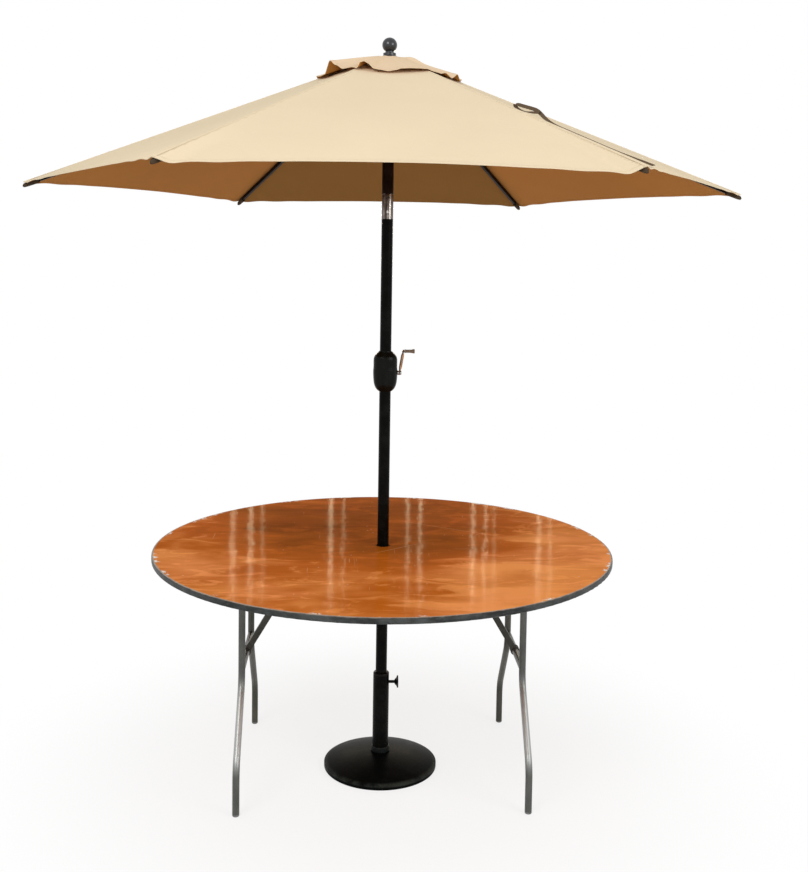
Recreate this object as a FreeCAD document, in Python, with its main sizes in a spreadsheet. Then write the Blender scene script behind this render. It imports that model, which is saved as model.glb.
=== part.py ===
import FreeCAD, Part
import Sketcher
import math
import os
import re

# Umbrella table: a round folding table on two tube leg sets, with a crank umbrella that stands in its
# own round foot and passes through a hole in the table top.
# Millimetres, +Z up. The origin is on the floor, below the pole.
# +X is to the right as seen from the front (-Y).

SIZES = {
    "table_diameter": 1524,
    "table_height": 762,
    "top_thickness": 19,
    "band_width": 6,
    "band_round": 4,
    "saddle_depth": 18,
    "saddle_gap": 0.3,
    "foot_head": 7,
    "foot_round": 4,
    "barb_depth": 8,
    "barb_height": 3,
    "pole_hole": 46,
    "hinge_offset": 455,
    "left_hinge_drop": 37,
    "right_hinge_drop": 63,
    "leg_tube": 22.2,
    "tube_wall": 1.6,
    "upper_spread": 170,
    "foot_spread": 345,
    "bend_high": 360,
    "bend_low": 145,
    "bend_radius": 110,
    "foot_cap_height": 24,
    "rail_height": 400,
    "brace_ratio": 0.6,
    "saddle_spread": 120,
    "saddle_width": 34,
    "saddle_wall": 2.5,
    "saddle_flange": 22,
    "hinge_cleat_width": 110,
    "hinge_cleat_length": 470,
    "brace_cleat_width": 90,
    "brace_cleat_length": 120,
    "screw_head": 9,
    "screw_head_height": 2.4,
    "screw_shank": 4.2,
    "screw_bite": 12,
    "strap_width": 20,
    "strap_wall": 3,
    "bar_wall": 10,
    "cheek_wall": 2,
    "side_gap": 0.4,
    "fork_gap": 0.8,
    "eye_wall": 4.5,
    "pin_diameter": 8,
    "turn_gap": 0.08,
    "soft_gap": 0.3,
    "pole_diameter": 38.1,
    "pole_wall": 1.6,
    "base_diameter": 381,
    "base_rim": 15,
    "base_wall": 13,
    "boss_height": 53,
    "boss_diameter": 64,
    "collar_height": 17,
    "collar_wall": 2.6,
    "stem_diameter": 54,
    "stem_wall": 2.8,
    "stem_top": 318,
    "cap_height": 9,
    "cap_sleeve": 60,
    "cap_gap": 0.3,
    "knob_level": 290.6,
    "knob_diameter": 41,
    "knob_thick": 12,
    "knob_standoff": 19,
    "clamp_screw": 10,
    "crank_level": 1347,
    "housing_bottom": 1285,
    "housing_top": 1419,
    "housing_wide": 81,
    "housing_deep": 66,
    "housing_wall": 3,
    "housing_screw_spread": 28,
    "screw_inset": 25,
    "shaft_diameter": 10,
    "spool_diameter": 20,
    "spool_flange": 28,
    "spool_width": 18,
    "crank_boss": 15,
    "crank_boss_length": 13,
    "crank_radius": 72,
    "crank_lean": 12,
    "crank_bar_wide": 10,
    "crank_bar_thick": 4,
    "grip_length": 34,
    "grip_waist": 10.5,
    "grip_end": 15,
    "grip_stud": 5,
    "sleeve_bottom": 1856,
    "sleeve_top": 1937,
    "sleeve_wall": 3,
    "tilt_level": 1921,
    "tilt_gap": 1,
    "tongue_wide": 16,
    "tongue_round": 27.2,
    "tongue_plug": 34,
    "notch_depth": 6,
    "notch_start": 5,
    "spigot_length": 40,
    "tilt_pin": 8,
    "button_level": 1879,
    "button_diameter": 9,
    "button_rise": 3.5,
    "button_travel": 3,
    "spring_wire": 1.2,
    "spring_turns": 4,
    "hub_level": 2370,
    "hub_radius": 44,
    "hub_bottom": 2346,
    "hub_top": 2378,
    "hub_seat": 2364,
    "pivot_radius": 35,
    "wire_diameter": 3,
    "wire_gap": 0.4,
    "slot_root": 26,
    "slot_gap": 0.7,
    "pulley_diameter": 24,
    "rib_length": 1206,
    "rib_slope": 20.2,
    "rib_wide": 9,
    "rib_high": 14,
    "rib_wall": 1.1,
    "rib_neck": 18,
    "rib_cap_length": 30,
    "strut_reach": 400,
    "strut_drop": 16,
    "strut_wide": 8.2,
    "strut_high": 10,
    "strut_wall": 1.1,
    "tilt_angle": 30,
    "clip_wall": 1.5,
    "trunnion_diameter": 4,
    "trunnion_reach": 3,
    "runner_radius": 45,
    "runner_root": 29,
    "runner_height": 54,
    "runner_gap": 1.2,
    "runner_key_wide": 12,
    "runner_below": 14,
    "runner_key_deep": 5,
    "canopy_radius": 1183,
    "canopy_wall": 1.6,
    "canopy_scallop": 24,
    "vent_hole": 140,
    "vent_bore": 11,
    "vent_radius": 238,
    "vent_shoulder": 190,
    "vent_shoulder_level": 2366,
    "vent_lift": 14,
    "vent_scallop": 16,
    "vent_tack": 2,
    "finial_ball": 49,
    "finial_top": 2446,
    "finial_neck": 26,
    "finial_collar": 42,
    "finial_flare": 50,
    "belt_length": 500,
    "belt_width": 16,
    "belt_wall": 1.6,
    "belt_start": 718,
    "belt_offset": 8,
    "belt_skew": 4.6,
}
RIBS = 6

doc = FreeCAD.newDocument("umbrella_table")
sheet = doc.addObject("Spreadsheet::Sheet", "Sizes")
for row, (alias, value) in enumerate(SIZES.items(), start=1):
    sheet.set("A%d" % row, alias)
    sheet.set("B%d" % row, str(value))
    sheet.setAlias("B%d" % row, alias)
doc.recompute()

PIECES = {}


def bound(text):
    """The expression with each alias named on the sheet."""
    return re.sub(r"[a-z_]+", lambda m: "Sizes." + m.group(0) if m.group(0) in SIZES else m.group(0),
                  str(text))


def num(text):
    """The value of an expression of sheet aliases."""
    value = sheet.evalExpression(bound(text))
    return float(getattr(value, "Value", value))


def bind(item, **sizes):
    for prop, text in sizes.items():
        item.setExpression(prop, bound(text))
    return item


def put(item, at, turn=None):
    """Turns an object, then binds its place to the sheet."""
    if turn is not None:
        item.Placement = FreeCAD.Placement(FreeCAD.Vector(), turn)
    for axis, text in zip("xyz", at):
        item.setExpression(".Placement.Base." + axis, bound(text))
    return item


def chain(item, *frames):
    """Binds an object's placement to a product of frames of x, y, z and turns about Z, Y and X."""
    steps = ["placement(vector(%s; %s; %s); rotation(%s; %s; %s))" % frame for frame in frames]
    item.setExpression("Placement", bound(" * ".join(steps)))
    return item


def pose(item, at, yaw="0", pitch="0", roll="0"):
    return chain(item, tuple(at) + (yaw, pitch, roll))


ALONG_X = FreeCAD.Rotation(FreeCAD.Vector(0, 1, 0), 90)
ALONG_Y = FreeCAD.Rotation(FreeCAD.Vector(1, 0, 0), -90)


def rod(name, diameter, length, at, turn=None):
    item = doc.addObject("Part::Cylinder", name)
    bind(item, Radius="(%s) / 2" % diameter, Height=length)
    return put(item, at, turn)


def block(name, size, at):
    """A box that is centred on at in X and Y and stands on it in Z."""
    item = doc.addObject("Part::Box", name)
    bind(item, Length=size[0], Width=size[1], Height=size[2])
    return put(item, ("%s - (%s) / 2" % (at[0], size[0]), "%s - (%s) / 2" % (at[1], size[1]), at[2]))


def cone(name, low, high, length, at, turn=None):
    item = doc.addObject("Part::Cone", name)
    bind(item, Radius1="(%s) / 2" % low, Radius2="(%s) / 2" % high, Height=length)
    return put(item, at, turn)


def fuse(name, *items):
    item = doc.addObject("Part::MultiFuse", name)
    item.Shapes = list(items)
    item.Refine = True
    return item


def cut(name, base, *tools):
    for count, tool in enumerate(tools):
        item = doc.addObject("Part::Cut", "%s_%d" % (name, count) if count < len(tools) - 1 else name)
        item.Base = base
        item.Tool = tool
        base = item
    return base


def common(name, base, tool):
    item = doc.addObject("Part::Common", name)
    item.Base = base
    item.Tool = tool
    return item


def group(name, *items):
    item = doc.addObject("Part::Compound", name)
    item.Links = list(items)
    return item


def formed(name, shape):
    item = doc.addObject("Part::Feature", name)
    item.Shape = shape
    return item


def keep(node, item):
    """Names a finished sub-part after its node."""
    item.Label = node
    PIECES[node] = item
    return item


def origin_plane(body, role):
    return [feature for feature in body.Origin.OriginFeatures if feature.Role == role][0]


def outline(body, name, role, points):
    """A closed sketch through points of two expressions each; a third one is the radius of the arc that
    arrives there, positive where the arc turns left."""
    sketch = body.newObject("Sketcher::SketchObject", name)
    sketch.AttachmentSupport = (origin_plane(body, role), [""])
    sketch.MapMode = "FlatFace"
    spots = [FreeCAD.Vector(num(point[0]), num(point[1]), 0) for point in points]
    edges = []
    for index, start in enumerate(spots):
        after = (index + 1) % len(spots)
        end = spots[after]
        if len(points[after]) == 2:
            edges.append((sketch.addGeometry(Part.LineSegment(start, end), False), 1, 2))
            continue
        radius = num(points[after][2])
        half = (end - start) * 0.5
        side = FreeCAD.Vector(-half.y, half.x, 0).normalize() * math.copysign(1, radius)
        depth = math.sqrt(max(radius * radius - half.Length ** 2, 0))
        centre = start + half + side * depth
        circle = Part.Circle(centre, FreeCAD.Vector(0, 0, 1), abs(radius))
        angles = [math.atan2(spot.y - centre.y, spot.x - centre.x) for spot in (start, end)]
        if radius < 0:
            angles.reverse()
        geometry = sketch.addGeometry(Part.ArcOfCircle(circle, angles[0], angles[1]), False)
        edges.append((geometry, 1, 2) if radius > 0 else (geometry, 2, 1))
        row = sketch.addConstraint(Sketcher.Constraint("Radius", geometry, abs(radius)))
        sketch.setExpression("Constraints[%d]" % row, bound("abs(%s)" % points[after][2]))
    for index, (edge, low, high) in enumerate(edges):
        following = edges[(index + 1) % len(edges)]
        sketch.addConstraint(Sketcher.Constraint("Coincident", edge, high, following[0], following[1]))
    for index, (edge, low, high) in enumerate(edges):
        for kind, text, axis in (("DistanceX", points[index][0], -2), ("DistanceY", points[index][1], -1)):
            if str(text) == "0":
                sketch.addConstraint(Sketcher.Constraint("PointOnObject", edge, low, axis))
                continue
            row = sketch.addConstraint(Sketcher.Constraint(kind, -1, 1, edge, low, num(text)))
            sketch.setExpression("Constraints[%d]" % row, bound(text))
    return sketch


def turned(name, points):
    """A body turned about its own Z from a profile of radius and height."""
    body = doc.addObject("PartDesign::Body", name)
    sketch = outline(body, name + "_profile", "XZ_Plane", points)
    doc.recompute()
    feature = body.newObject("PartDesign::Revolution", name + "_turned")
    feature.Profile = sketch
    feature.ReferenceAxis = (sketch, ["V_Axis"])
    feature.Angle = 360
    return body


# Table top, its edge band and the wooden cleats below it
UNDERSIDE = "table_height - top_thickness"
BOARD_RADIUS = "table_diameter / 2 - band_width"
BARB_LOW = "table_height - (top_thickness + barb_height) / 2"
BARB_HIGH = "table_height - (top_thickness - barb_height) / 2"
board = turned("board", [
    ("pole_hole / 2", UNDERSIDE),
    (BOARD_RADIUS, UNDERSIDE),
    (BOARD_RADIUS, BARB_LOW),
    (BOARD_RADIUS + " - barb_depth", BARB_LOW),
    (BOARD_RADIUS + " - barb_depth", BARB_HIGH),
    (BOARD_RADIUS, BARB_HIGH),
    (BOARD_RADIUS, "table_height"),
    ("pole_hole / 2", "table_height"),
])
keep("table_top", board)
band = turned("band", [
    (BOARD_RADIUS, UNDERSIDE),
    ("table_diameter / 2 - band_round", UNDERSIDE),
    ("table_diameter / 2", UNDERSIDE + " + band_round", "band_round"),
    ("table_diameter / 2", "table_height - band_round"),
    ("table_diameter / 2 - band_round", "table_height", "band_round"),
    (BOARD_RADIUS, "table_height"),
    (BOARD_RADIUS, BARB_HIGH),
    (BOARD_RADIUS + " - barb_depth", BARB_HIGH),
    (BOARD_RADIUS + " - barb_depth", BARB_LOW),
    (BOARD_RADIUS, BARB_LOW),
])
keep("edge_band", band)

SIDES = {"left": -1, "right": 1}
screws = []
hinge_cleats = []
brace_cleats = []
saddles = []
brackets = []


def screw(name, x, y, seat):
    """A pan-head screw that is driven up into a cleat; returns its shank, for the holes."""
    head = rod(name + "_head", "screw_head", "screw_head_height", (x, y, "%s - screw_head_height" % seat))
    shank = rod(name + "_shank", "screw_shank", "screw_bite", (x, y, seat))
    screws.append(fuse(name, head, shank))
    return shank


for side, sign in SIDES.items():
    hinge_x = "%d * hinge_offset" % sign
    axis_z = "%s - %s_hinge_drop" % (UNDERSIDE, side)
    seat = "%s + saddle_depth" % axis_z
    plate = "%s - saddle_wall" % seat
    cleat_height = "%s_hinge_drop - saddle_depth" % side
    shanks = []
    for end, way in (("front", -1), ("rear", 1)):
        name = "%s_%s_saddle" % (side, end)
        middle = "%d * saddle_spread" % way
        strap = "leg_tube + 2 * saddle_gap + 2 * saddle_wall"
        start = "%s - saddle_width / 2" % middle
        outer = rod(name + "_bow", strap, "saddle_width", (hinge_x, start, axis_z), ALONG_Y)
        upright = block(name + "_upright", (strap, "saddle_width", "saddle_depth"),
                        (hinge_x, middle, axis_z))
        flange = block(name + "_flange", (strap + " + 2 * saddle_flange", "saddle_width", "saddle_wall"),
                       (hinge_x, middle, plate))
        bore = "leg_tube + 2 * saddle_gap"
        inner = rod(name + "_bore", bore, "saddle_width", (hinge_x, start, axis_z), ALONG_Y)
        mouth = block(name + "_mouth", (bore, "saddle_width", "saddle_depth"), (hinge_x, middle, axis_z))
        holes = []
        for edge, lean in (("in", -1), ("out", 1)):
            place = "%s + %d * (leg_tube / 2 + saddle_gap + saddle_wall + saddle_flange / 2)" % (hinge_x,
                                                                                                 lean)
            holes.append(screw("%s_screw_%s" % (name, edge), place, middle, plate))
        saddles.append(cut(name, fuse(name + "_body", outer, upright, flange), inner, mouth, *holes))
        shanks += holes
    cleat = block(side + "_hinge_board", ("hinge_cleat_width", "hinge_cleat_length", cleat_height),
                  (hinge_x, "0", seat))
    hinge_cleats.append(cut(side + "_hinge_cleat", cleat, *shanks))

    # The bracket in which the upper brace turns
    drop = "(%s - rail_height)" % axis_z
    pivot_x = "%d * (hinge_offset - brace_ratio * %s)" % (sign, drop)
    name = side + "_bracket"
    wide = "bar_wall + 2 * side_gap + 2 * cheek_wall"
    cheek = block(name + "_cheek", ("strap_width", wide, "saddle_depth"), (pivot_x, "0", axis_z))
    nose = rod(name + "_nose", "strap_width", wide, (pivot_x, "-(%s) / 2" % wide, axis_z), ALONG_Y)
    flange = block(name + "_flange", ("strap_width + 2 * saddle_flange", "saddle_width", "cheek_wall"),
                   (pivot_x, "0", seat + " - cheek_wall"))
    slot_size = ("strap_width + pin_diameter", "bar_wall + 2 * side_gap",
                 "saddle_depth + strap_width - cheek_wall")
    slot = block(name + "_slot", slot_size, (pivot_x, "0", axis_z + " - strap_width"))
    bore = rod(name + "_bore", "pin_diameter", wide, (pivot_x, "-(%s) / 2" % wide, axis_z), ALONG_Y)
    holes = []
    for edge, lean in (("in", -1), ("out", 1)):
        place = "%s + %d * (strap_width + saddle_flange) / 2" % (pivot_x, lean)
        holes.append(screw("%s_screw_%s" % (name, edge), place, "0", seat + " - cheek_wall"))
    brackets.append(cut(name, fuse(name + "_body", cheek, nose, flange), slot, bore, *holes))
    pin_length = "%s + side_gap" % wide
    brackets.append(rod(name + "_pin", "pin_diameter", pin_length,
                        (pivot_x, "-(%s) / 2" % pin_length, axis_z), ALONG_Y))
    cleat = block(side + "_brace_board", ("brace_cleat_width", "brace_cleat_length", cleat_height),
                  (pivot_x, "0", seat))
    brace_cleats.append(cut(side + "_brace_cleat", cleat, *holes))

keep("hinge_cleats", group("hinge_cleat_pair", *hinge_cleats))
keep("brace_cleats", group("brace_cleat_pair", *brace_cleats))
keep("hinge_saddles", group("saddle_set", *saddles))
keep("brace_brackets", group("bracket_pair", *brackets))
keep("table_screws", group("screw_set", *screws))


# Leg sets: two bent tubes, a hinge tube and a cross rail
def bent_path(points, radius):
    """Straight runs joined by tangent arcs of one radius."""
    edges = []
    start = points[0]
    for index in range(1, len(points) - 1):
        corner = points[index]
        back = (points[index - 1] - corner).normalize()
        ahead = (points[index + 1] - corner).normalize()
        half_turn = (math.pi - back.getAngle(ahead)) / 2
        tangent = radius * math.tan(half_turn)
        into = corner + back * tangent
        out = corner + ahead * tangent
        bisector = (back + ahead).normalize()
        middle = corner + bisector * (radius / math.cos(half_turn) - radius)
        edges.append(Part.LineSegment(start, into).toShape())
        edges.append(Part.Arc(into, middle, out).toShape())
        start = out
    edges.append(Part.LineSegment(start, points[-1]).toShape())
    return Part.Wire(edges)


def swept_tube(path, first, direction, diameter):
    circle = Part.Wire([Part.Circle(first, direction, diameter / 2).toShape()])
    return path.makePipeShell([circle], True, False)


for side, sign in SIDES.items():
    hinge_x = "%d * hinge_offset" % sign
    axis_z = "%s - %s_hinge_drop" % (UNDERSIDE, side)
    outers = []
    tubes = []
    for end, way in (("front", -1), ("rear", 1)):
        x = num(hinge_x)
        spots = [
            FreeCAD.Vector(x, way * num("upper_spread"), num(axis_z + " + leg_tube / 2")),
            FreeCAD.Vector(x, way * num("upper_spread"), num("bend_high")),
            FreeCAD.Vector(x, way * num("foot_spread"), num("bend_low")),
            FreeCAD.Vector(x, way * num("foot_spread"), num("foot_head")),
        ]
        path = bent_path(spots, num("bend_radius"))
        down = FreeCAD.Vector(0, 0, -1)
        outer = swept_tube(path, spots[0], down, num("leg_tube"))
        inner = swept_tube(path, spots[0], down, num("leg_tube - 2 * tube_wall"))
        outers.append(formed("%s_%s_leg_outer" % (side, end), outer))
        tubes.append(formed("%s_%s_leg" % (side, end), outer.cut(inner)))
    keep("leg_tubes_" + side, group(side + "_leg_pair", *tubes))
    for node, level in (("hinge_tube_", axis_z), ("cross_rail_", "rail_height")):
        start = (hinge_x, "-upper_spread", level)
        solid = rod(node + side + "_rod", "leg_tube", "2 * upper_spread", start, ALONG_Y)
        hollow = rod(node + side + "_hollow", "leg_tube - 2 * tube_wall", "2 * upper_spread", start,
                     ALONG_Y)
        keep(node + side, cut(node + side + "_tube", solid, hollow, *outers))
    plugs = []
    for end, way in (("front", -1), ("rear", 1)):
        plug = turned("%s_%s_plug" % (side, end), [
            ("0", "0"),
            ("leg_tube / 2 - foot_round", "0"),
            ("leg_tube / 2", "foot_round", "foot_round"),
            ("leg_tube / 2", "foot_head"),
            ("leg_tube / 2 - tube_wall", "foot_head"),
            ("leg_tube / 2 - tube_wall", "foot_cap_height"),
            ("0", "foot_cap_height"),
        ])
        plugs.append(put(plug, (hinge_x, "%d * foot_spread" % way, "0")))
    keep("foot_plugs_" + side, group(side + "_plug_pair", *plugs))


# Folding braces: a fork that turns on the cross rail and a bar that turns in the bracket
FORK_INNER = "(bar_wall / 2 + side_gap + cheek_wall + fork_gap)"
for side, sign in SIDES.items():
    axis_z = "%s - %s_hinge_drop" % (UNDERSIDE, side)
    drop = "(%s - rail_height)" % axis_z
    straight = "%s * sqrt(1 + brace_ratio ^ 2)" % drop
    folded = "%s * (1 - brace_ratio)" % drop
    fork_length = "(%s + %s) / 2" % (straight, folded)
    bar_length = "(%s - %s) / 2" % (straight, folded)
    lean = "%d * atan(brace_ratio) / 1 deg" % sign

    name = side + "_fork"
    parts = []
    for cheek, way in (("front", -1), ("rear", 1)):
        near = "-%s - strap_wall" % FORK_INNER if way < 0 else FORK_INNER
        middle = "%d * (%s + strap_wall / 2)" % (way, FORK_INNER)
        strap = block("%s_%s_strap" % (name, cheek), (fork_length, "strap_wall", "strap_width"),
                      ("(%s) / 2" % fork_length, middle, "-strap_width / 2"))
        eye = rod("%s_%s_eye" % (name, cheek), "leg_tube + 2 * eye_wall", "strap_wall", ("0", near, "0"),
                  ALONG_Y)
        tip = rod("%s_%s_tip" % (name, cheek), "strap_width", "strap_wall", (fork_length, near, "0"),
                  ALONG_Y)
        parts += [strap, eye, tip]
    web_start = "leg_tube / 2 + eye_wall"
    web_length = "%s - %s - strap_width - %s" % (fork_length, bar_length, web_start)
    web_side = "-strap_width / 2" if sign > 0 else "strap_width / 2 - strap_wall"
    web = block(name + "_web", (web_length, "2 * (%s)" % FORK_INNER, "strap_wall"),
                ("%s + (%s) / 2" % (web_start, web_length), "0", web_side))
    bore_length = "2 * (%s + 2 * strap_wall)" % FORK_INNER
    bore = rod(name + "_bore", "leg_tube + 2 * turn_gap", bore_length,
               ("0", "-(%s) / 2" % bore_length, "0"), ALONG_Y)
    fork = cut(name, fuse(name + "_body", web, *parts), bore)
    studs = []
    for cheek, way in (("front", -1), ("rear", 1)):
        face = "%d * (%s + strap_wall)" % (way, FORK_INNER)
        ends = ("pin_diameter + strap_wall", "pin_diameter")
        start = face
        if way < 0:
            ends = ends[::-1]
            start = face + " - strap_wall"
        studs.append(cone("%s_%s_stud" % (name, cheek), ends[0], ends[1], "strap_wall",
                          (fork_length, start, "0"), ALONG_Y))
        inner = "-%s" % FORK_INNER if way < 0 else "bar_wall / 2 + side_gap"
        studs.append(rod("%s_%s_spacer" % (name, cheek), "pin_diameter + strap_wall",
                         "%s - bar_wall / 2 - side_gap" % FORK_INNER, (fork_length, inner, "0"), ALONG_Y))
    lower = group(name + "_set", fork, *studs)
    pose(lower, ("%d * hinge_offset" % sign, "0", "rail_height"), pitch="-90 - " + lean)
    keep("brace_lower_" + side, lower)

    name = side + "_bar"
    half = "-bar_wall / 2"
    body = block(name + "_body", (bar_length, "bar_wall", "strap_width"),
                 ("(%s) / 2" % bar_length, "0", "-strap_width / 2"))
    ends = [rod("%s_end_%d" % (name, k), "strap_width", "bar_wall", (at, half, "0"), ALONG_Y)
            for k, at in enumerate(("0", bar_length))]
    hole = rod(name + "_hole", "pin_diameter + 2 * turn_gap", "bar_wall", ("0", half, "0"), ALONG_Y)
    upper = cut(name, fuse(name + "_solid", body, *ends), hole)
    pivot_x = "%d * (hinge_offset - brace_ratio * %s)" % (sign, drop)
    pose(upper, (pivot_x, "0", axis_z), pitch="90 - " + lean)
    keep("brace_upper_" + side, upper)


# Umbrella foot: a cast disc, a stem with its top insert, and a clamp knob
keep("base_disc", turned("disc", [
    ("0", "boss_height - base_wall"),
    ("boss_diameter / 2", "boss_height - base_wall"),
    ("base_diameter / 2 - 2 * base_wall", "0"),
    ("base_diameter / 2 - base_wall / 4", "0"),
    ("base_diameter / 2", "base_wall / 4", "base_wall / 4"),
    ("base_diameter / 2", "base_rim"),
    ("boss_diameter / 2", "boss_height - base_wall / 4", "1.4 * base_diameter"),
    ("boss_diameter / 2", "boss_height"),
    ("0", "boss_height"),
]))
keep("base_collar", turned("collar", [
    ("stem_diameter / 2", "boss_height"),
    ("stem_diameter / 2 + collar_wall", "boss_height"),
    ("stem_diameter / 2 + collar_wall", "boss_height + collar_height - collar_wall"),
    ("stem_diameter / 2", "boss_height + collar_height", "collar_wall"),
]))
STEM_BORE = "stem_diameter - 2 * stem_wall"
stem_height = "stem_top - boss_height"
stem = rod("stem_rod", "stem_diameter", stem_height, ("0", "0", "boss_height"))
stem_bore = rod("stem_bore", STEM_BORE, stem_height, ("0", "0", "boss_height"))
screw_start = "pole_diameter / 2 + cap_gap"
screw_length = "stem_diameter / 2 + knob_standoff + knob_thick / 2 - (%s)" % screw_start
screw_hole = rod("clamp_hole", "clamp_screw + 2 * turn_gap", "stem_diameter", ("0", "0", "knob_level"),
                 ALONG_X)
keep("base_stem", cut("stem", stem, stem_bore, screw_hole))
cap = turned("cap_turned", [
    ("pole_diameter / 2 + cap_gap", "stem_top - cap_sleeve"),
    ("stem_diameter / 2 - stem_wall", "stem_top - cap_sleeve"),
    ("stem_diameter / 2 - stem_wall", "stem_top"),
    ("stem_diameter / 2", "stem_top"),
    ("stem_diameter / 2", "stem_top + cap_height / 3"),
    ("stem_diameter / 2 - 2 * cap_height / 3", "stem_top + cap_height", "2 * cap_height / 3"),
    ("pole_diameter / 2 + cap_gap", "stem_top + cap_height"),
])
cap_hole = rod("cap_hole", "clamp_screw + 2 * turn_gap", "stem_diameter", ("0", "0", "knob_level"), ALONG_X)
keep("stem_cap", cut("cap", cap, cap_hole))
clamp_rod = rod("clamp_rod", "clamp_screw", screw_length, (screw_start, "0", "knob_level"), ALONG_X)
knob = turned("knob_turned", [
    ("clamp_screw / 2", "0"),
    ("knob_diameter / 5", "0"),
    ("knob_diameter / 2", "2 * knob_thick / 3", "-knob_diameter / 2"),
    ("knob_diameter / 2", "knob_thick"),
    ("0", "knob_thick"),
    ("0", "knob_thick / 2"),
    ("clamp_screw / 2", "knob_thick / 2"),
])
knob.Placement = FreeCAD.Placement(FreeCAD.Vector(), ALONG_X)
knob_x = "stem_diameter / 2 + knob_standoff"
put(knob, (knob_x, "0", "knob_level"))
keep("clamp_knob", group("knob_set", knob, clamp_rod))


# Lower mast: the pole, the crank housing and the tilt sleeve
POLE_BORE = "pole_diameter - 2 * pole_wall"
mast_bottom = "boss_height + soft_gap"
mast_length = "sleeve_bottom - (%s)" % mast_bottom
mast_rod = rod("mast_rod", "pole_diameter", mast_length, ("0", "0", mast_bottom))
mast_bore = rod("mast_bore", POLE_BORE, mast_length, ("0", "0", mast_bottom))
crank_hole = rod("crank_hole", "shaft_diameter + 2 * turn_gap", "2 * pole_diameter",
                 ("-pole_diameter", "0", "crank_level"), ALONG_X)
keep("lower_pole", cut("mast", mast_rod, mast_bore, crank_hole))

# Height above the housing's bottom and half-width, as shares of the housing's own height and width
BULGE = [(0, 0.52), (0.06, 0.74), (0.16, 0.9), (0.32, 0.98), (0.52, 1), (0.74, 0.98), (0.86, 0.92),
         (0.94, 0.72),
         (1, 0.53)]


def housing_form(shrink):
    """A loft through upright ovals, each smaller by shrink all round."""
    wires = []
    low = num("housing_bottom")
    high = num("housing_top")
    for share, width in BULGE:
        level = low + share * (high - low)
        wide = num("housing_wide / 2") * width - shrink
        deep = max(num("housing_deep / 2") * width, num("pole_diameter / 2 + housing_wall / 3")) - shrink
        wide = max(wide, deep + 0.5)
        ellipse = Part.Ellipse(FreeCAD.Vector(0, 0, level), wide, deep)
        wires.append(Part.Wire([ellipse.toShape()]))
    return Part.makeLoft(wires, True, False)


shell = formed("housing_outer", housing_form(0))
hollow_form = formed("housing_inner", housing_form(num("housing_wall")))
core_height = "housing_top - housing_bottom - 2 * housing_wall"
core = block("housing_core", ("housing_wide", "housing_deep", core_height),
             ("0", "0", "housing_bottom + housing_wall"))
hollow = common("housing_hollow", hollow_form, core)
pole_way = rod("housing_pole_way", "pole_diameter", "housing_top - housing_bottom",
               ("0", "0", "housing_bottom"))
shaft_way = rod("housing_shaft_way", "shaft_diameter + 2 * turn_gap", "housing_wide",
                ("0", "0", "crank_level"), ALONG_X)
columns = []
column_bores = []
housing_screws = []
for corner, (way, level) in enumerate(((-1, "housing_bottom + screw_inset"),
                                       (1, "housing_bottom + screw_inset"),
                                       (-1, "housing_top - screw_inset"),
                                       (1, "housing_top - screw_inset"))):
    place = "%d * housing_screw_spread" % way
    name = "housing_screw_%d" % corner
    seat = "housing_deep / 4"
    column = rod(name + "_column", "screw_head", "2 * housing_deep", (place, "-housing_deep", level),
                 ALONG_Y)
    columns.append(common(name + "_trimmed", shell, column))
    column_bores.append(rod(name + "_counterbore", "screw_head - housing_wall / 2", "housing_deep",
                            (place, seat, level), ALONG_Y))
    shank = rod(name + "_shank", "housing_wall", "housing_deep / 2",
                (place, seat + " - housing_deep / 2", level), ALONG_Y)
    column_bores.append(shank)
    head = rod(name + "_head", "screw_head - housing_wall", "screw_head_height", (place, seat, level),
               ALONG_Y)
    housing_screws.append(fuse(name, shank, head))
casing = cut("housing_casing", fuse("housing_shell", cut("housing_open", shell, hollow), *columns),
             pole_way, shaft_way, *column_bores)
for node, way in (("housing_front", -1), ("housing_back", 1)):
    half = block(node + "_half", ("2 * housing_wide", "housing_wide", "housing_top - housing_bottom"),
                 ("0", "%d * housing_wide / 2" % way, "housing_bottom"))
    keep(node, common(node + "_shell", casing, half))
keep("housing_screws", group("housing_screw_set", *housing_screws))

# Tilt sleeve: the top of the lower mast, open at the rear so that the upper mast can lean back
SLEEVE_BORE = "pole_diameter - 2 * sleeve_wall"
sleeve_rod = rod("sleeve_rod", "pole_diameter", "sleeve_top - sleeve_bottom", ("0", "0", "sleeve_bottom"))
spigot = rod("spigot", POLE_BORE, "spigot_length", ("0", "0", "sleeve_bottom - spigot_length"))
sleeve_bore = rod("sleeve_bore", SLEEVE_BORE, "sleeve_top - sleeve_bottom + spigot_length",
                  ("0", "0", "sleeve_bottom - spigot_length"))
pin_bore = rod("pin_bore", "tilt_pin + 2 * turn_gap", "2 * pole_diameter",
               ("-pole_diameter", "0", "tilt_level"), ALONG_X)
button_bore = rod("button_bore", "button_diameter + 2 * soft_gap", "pole_diameter",
                  ("0", "-pole_diameter", "button_level"), ALONG_Y)
notch = block("sleeve_notch", ("tongue_wide + 2 * tilt_gap", "pole_diameter", "sleeve_top"),
              ("0", "pole_diameter / 2", "tilt_level - notch_depth"))
bevel = doc.addObject("Part::Box", "sleeve_bevel")
bind(bevel, Length="2 * pole_diameter", Width="pole_diameter", Height="pole_diameter")
pose(bevel, ("-pole_diameter", "notch_start", "sleeve_top"), roll="-tilt_angle")
keep("tilt_sleeve", cut("sleeve", fuse("sleeve_body", sleeve_rod, spigot), sleeve_bore, pin_bore,
                        button_bore,
                        notch, bevel))

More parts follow.
